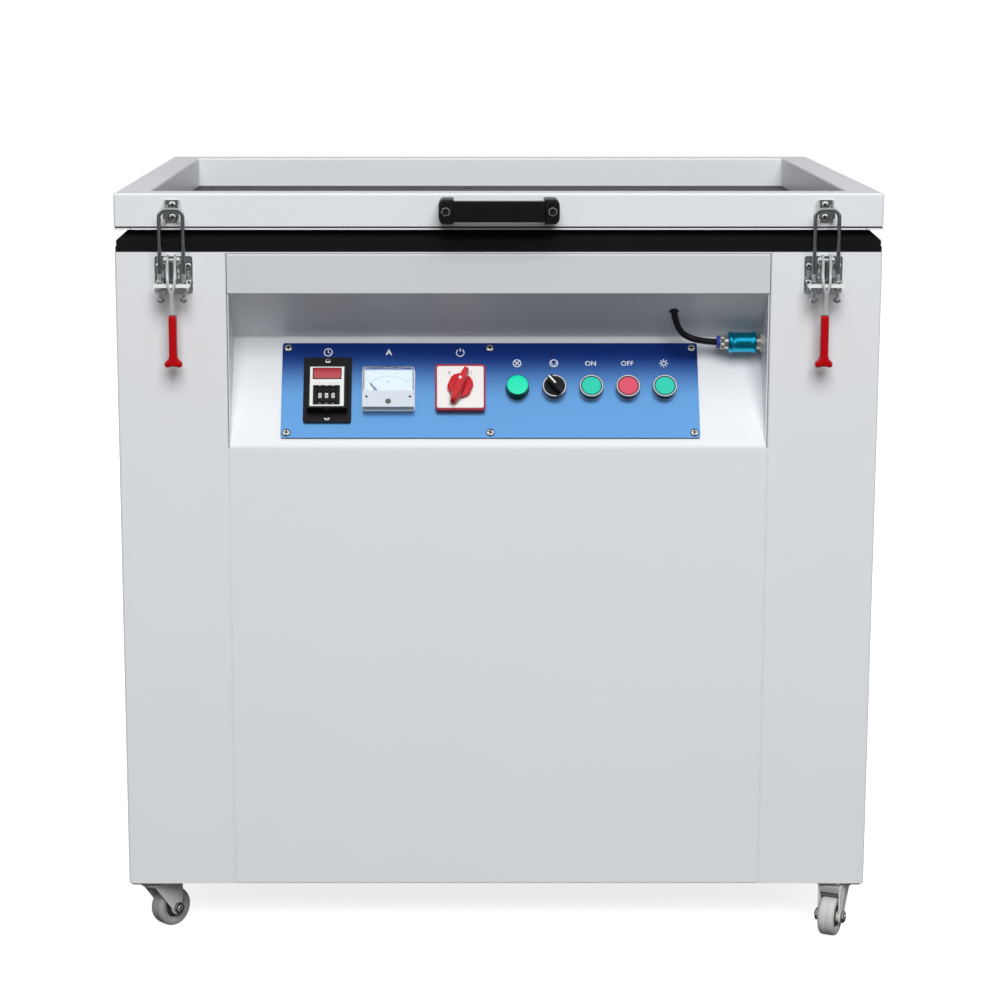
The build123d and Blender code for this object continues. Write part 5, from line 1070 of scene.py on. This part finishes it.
# casters: moulded tyre, hub, spoke wells, pressed cheeks, crown, axle nuts and swivel race
caster = {"inset": 30.0, "trail": 24.0, "radius": 25.0, "crownLow": 57.0, "crownHigh": 65.8, "spokes": 5,
          "cheeks": (12.35, -14.65), "cheekThick": 2.3,
          "turns": {"front_left": 45, "front_right": 246, "rear_left": 330, "rear_right": 200}}
swivel, low, high = -caster["trail"], caster["crownLow"], caster["crownHigh"]
tyreHalf = [
    (4.05, 12.0), (7.2, 12.0), (7.6, 11.6), (7.6, 8.4), (14.5, 7.6), (15.6, 9.2), (17.2, 9.9),
    (20.5, 10.3), (22.8, 10.1), (24.2, 9.0), (24.85, 7.0), (25.0, 4.0), (25.0, 0.6), (24.8, 0.2),
]
tyreProfile = tyreHalf + [(radius, -reach) for radius, reach in reversed(tyreHalf)]
cheekLine = [(9, high), (swivel - 12, high), (swivel - 10, 60), (-10, 31), (-6, 21.5), (0, 18.8), (5, 20.5),
             (7.5, 26), (8.5, 40)]
nutLine = [(0, 15.0), (7.7, 15.0), (8.0, 15.5), (8.0, 18.2), (7.3, 18.9), (4.4, 19.0), (4.2, 18.7), (0, 18.7)]
for spotName, turn in caster["turns"].items():
    end, side = spotName.split("_")
    fork, wheel = "caster_fork_" + spotName, "caster_wheel_" + spotName
    turn = math.radians(turn)
    x = hand[side] * (unit["halfWidth"] - caster["inset"]) + caster["trail"] * math.cos(turn)
    y = unit["front"] + caster["inset"] if end == "front" else unit["back"] - caster["inset"]
    y += caster["trail"] * math.sin(turn)
    axle = Vector((-math.sin(turn), math.cos(turn), 0))
    ahead = axle.cross(upward)
    wheelPlace = axes((x, y, caster["radius"]), upward, ahead, axle)
    faces = [wheelPlace @ Matrix.Rotation(over, 4, "X") for over in (math.pi, 0)]
    # painted light: the front right tyre gets a paler copy of the tyre colour
    tyre = "tyreLitPale" if spotName == "front_right" else "grey_tyre"
    turnedPiece("casterTyre_" + spotName, wheel, "grey_tyre", [wheelPlace], tyreProfile, tyre, 64, closed=True,
                smooth=45, replaced=(wheel,))
    coat(fork, "forkGrey")
    crown = axes((x, y, 0), ahead, axle, upward)
    race = crown @ Matrix.Translation((swivel, 0, 0))
    bm = bmesh.new()
    for inside in caster["cheeks"]:
        prism(bm, axes((x, y, 0), ahead, upward, axle), cheekLine, inside, inside + caster["cheekThick"],
              edge=0.5, both=True)
    piece("casterCheeks_" + spotName, bm, fork, "zinc_plate", "forkGrey")
    # painted shade: the crown gets a darker grey than the cheeks
    bm = bmesh.new()
    slab(bm, crown, (swivel - 12, 9), (-12.4, 12.4), low, high, edge=1.5, segments=3, both=True)
    piece("casterCrown_" + spotName, bm, fork, "zinc_plate", "forkShade")
    turnedPiece("casterNuts_" + spotName, fork, "zinc_plate", [
        face @ Matrix.Rotation(math.pi / 6, 4, "Z") for face in faces
    ], nutLine, "nutZinc", 6, smooth=20)
    turnedPiece("casterStuds_" + spotName, fork, "zinc_plate", faces,
                [(0, 18.7), (3.4, 18.7), (3.4, 19.6), (2.7, 20.3), (0, 20.3)], steps=20)
    # painted shadow: a dark block fills the fork under the crown
    bm = bmesh.new()
    slab(bm, crown, (swivel - 6, 5), (-12.3, 12.3), 51.8, low + 0.2)
    piece("casterHoodShadow_" + spotName, bm, fork, "zinc_plate", "forkInsideShadow")
    turnedPiece("casterRace_" + spotName, fork, "zinc_plate", [race],
                [(13, 59.6), (19.5, 60.4), (21.6, 62.4), (21.8, 64.0), (13, 64.0)],
                "forkGrey", 48, closed=True)
    # painted shadow: a dark ring in the gap between the races
    turnedPiece("casterBallGapShadow_" + spotName, fork, "zinc_plate", [race],
                [(13, 64.1), (20.6, 64.1), (20.6, 66.9), (13, 66.9)], "forkInsideShadow", 48, closed=True)
    bm = bmesh.new()
    for face in faces:
        lathe(bm, face, [(7.8, 8.2), (8.2, 9.4), (12.6, 9.0), (13.6, 8.0), (7.8, 8.0)], steps=48, closed=True)
        for k in range(caster["spokes"]):
            stroke(bm, face, spoke(2 * math.pi * k / caster["spokes"], 8, 14), 1.4, 7.4, 9.3)
    piece("casterHub_" + spotName, bm, wheel, "grey_tyre", "hubDark")
print("casters")

# vacuum valve: waisted sleeve, release collar, ribs and hex nut
valve = {"left": 285.0, "y": -298.25, "z": 753.6, "knurls": 80, "nutFoot": 39.4}
valveAxis = sideways(valve["left"], valve["y"], valve["z"])
turnedPiece("valveSleeve", "valve_sleeve", "blue_anodised", [valveAxis], [
    (9.05, 0.0), (11.6, 0.0), (12.6, 0.9), (13.3, 1.4), (13.35, 4.2), (12.9, 5.2), (12.3, 6.2), (12.25, 28.0),
    (12.9, 29.2), (13.35, 30.2), (13.3, 33.0), (12.6, 33.6), (11.6, 34.5), (9.05, 34.5),
], steps=64, closed=True, replaced=("valve_sleeve",))
turnedPiece("valveCollar", "cabinet", "blue_anodised", [valveAxis], [
    (7.0, -14.2), (7.7, -14.2), (8.2, -13.4), (8.2, -10.4), (7.8, -9.9), (7.0, -9.9),
], "blueCollar", 40, closed=True)
bm = bmesh.new()
knurlSizes = (8.0, 8.35) * (valve["knurls"] // 2)
knurl = [(a * size, b * size) for (a, b), size in zip(ring(1.0, valve["knurls"]), knurlSizes)]
prism(bm, valveAxis, knurl, -9.6, -4.6, edge=0.2, segments=1, both=True)
lathe(bm, valveAxis @ Matrix.Translation((0, 0, valve["nutFoot"])), [
    (9.1, 0.0), (12.3, 0.0), (12.65, 0.5), (12.65, 2.6), (9.1, 2.6),
], steps=6, closed=True)
piece("valveFitting", bm, "cabinet", "nickel_brass", smooth=24)
print("valve")

# lid frame: mitred corner welds
weld = {"tube": 40.0, "inset": 1.2, "width": 0.7}
bm = bmesh.new()
for sign in (-1, 1):
    for edge, step in ((unit["front"], 1), (unit["back"], -1)):
        line = [
            (sign * (unit["halfWidth"] - inset), edge + step * inset)
            for inset in (weld["inset"], weld["tube"])
        ]
        stroke(bm, upright(0, 0, unit["lidTop"]), line, weld["width"], -0.2, 0.06)
piece("lidWeldLines", bm, "lid", "painted_steel", "weldGrey")

# paint-filled seams round the front panel, with a filler along the slope's lower edge
sideSeam = [(0.39, 1.4), (-0.39, 1.4), (-1.2, 0.16), (-0.5, 0.2), (0, 0.9), (0.5, 0.2), (1.2, 0.16)]
topSeam = [(0.02, 629.0), (3, 629.6), (3, 632.4), (1.3, 633.3), (0.7, 632.0), (0.2, 630.6)]
bm = bmesh.new()
for sign in (-1, 1):
    prism(bm, upright(sign * unit["recessHalf"], unit["front"], 0), sideSeam, 71.0, 629.6)
seamHalf = unit["recessHalf"] - 0.7
prism(bm, axes((0, unit["front"], 0), inward, upward, rightward), topSeam, -seamHalf, seamHalf)
piece("frontSeamPaint", bm, "cabinet", "painted_steel")

# rim gasket: stuck-on strips that show their joints
gasket = {"levels": (873.6, 880.4), "inset": 1.9, "radius": 0.55}
width, depth = (size - 2 * gasket["inset"] for size in (2 * unit["halfWidth"], unit["back"] - unit["front"]))
bm = bmesh.new()
for level in gasket["levels"]:
    line = [(x, y + unit["middle"], level) for x, y in roundedRect(width, depth, 2.0, 3)]
    wire(bm, line, [gasket["radius"]] * len(line), steps=6, closed=True)
piece("gasketBeads", bm, "cabinet", "black_rubber")

# hinge screws on both leaves
hinge = {"centres": (-280.0, 280.0), "steps": (-32, 0, 32)}
for name, rider, z in (("hingeScrewsLow", "cabinet", 852.0), ("hingeScrewsHigh", "lid", 919.0)):
    screwHeads(name, rider, [
        onBack(centre + step, z, 2.5) for centre in hinge["centres"] for step in hinge["steps"]
    ], radius=3.6, dome=1.6)
print("screws")

# gas struts: gland, wiper, end cap and stud nuts
strut = {"x": 481.0, "foot": (263.15, 664.86), "top": (132.06, 919.93), "stud": 5.4, "nut": 7.2}
along = Vector((0, strut["top"][0] - strut["foot"][0], strut["top"][1] - strut["foot"][1])).normalized()
glandLines = (
    [(4.2, 215.6), (6.6, 215.6), (7.4, 214.8), (9.25, 213.6), (9.25, 211.0), (9.02, 210.6), (4.2, 210.6)],
    [(9.02, 12.0), (9.25, 12.4), (9.25, 15.4), (9.02, 15.8), (8.6, 15.8), (8.6, 12.0)],
    [(9.0, 204.4), (9.12, 204.8), (9.12, 206.0), (9.0, 206.4), (8.6, 205.4)],
)
for side, sign in hand.items():
    x = sign * strut["x"]
    strutPlace = axes((x, *strut["foot"]), rightward, along.cross(rightward), along)
    bm = bmesh.new()
    for profile in glandLines:
        lathe(bm, strutPlace, profile, steps=48, closed=True)
    piece(side + "StrutGland", bm, "strut_cylinder_" + side, "black_enamel")
    for (y, z), rider in ((strut["foot"], "cabinet"), (strut["top"], "lid")):
        spot = sideways(x + sign * strut["stud"], y, z, sign)
        bm = bmesh.new()
        lathe(bm, spot, [(4.1, 0.0), (6.8, 0.0), (6.8, 0.7), (4.1, 0.7)], steps=36, closed=True)
        flats = ring(strut["nut"] / 2 / math.cos(math.pi / 6), 6)
        prism(bm, spot @ Matrix.Translation((0, 0, 0.8)), flats, 0, 3.2, edge=0.5)
        piece(side + rider.capitalize() + "StudNut", bm, rider, "zinc_plate", smooth=25)
print("struts")
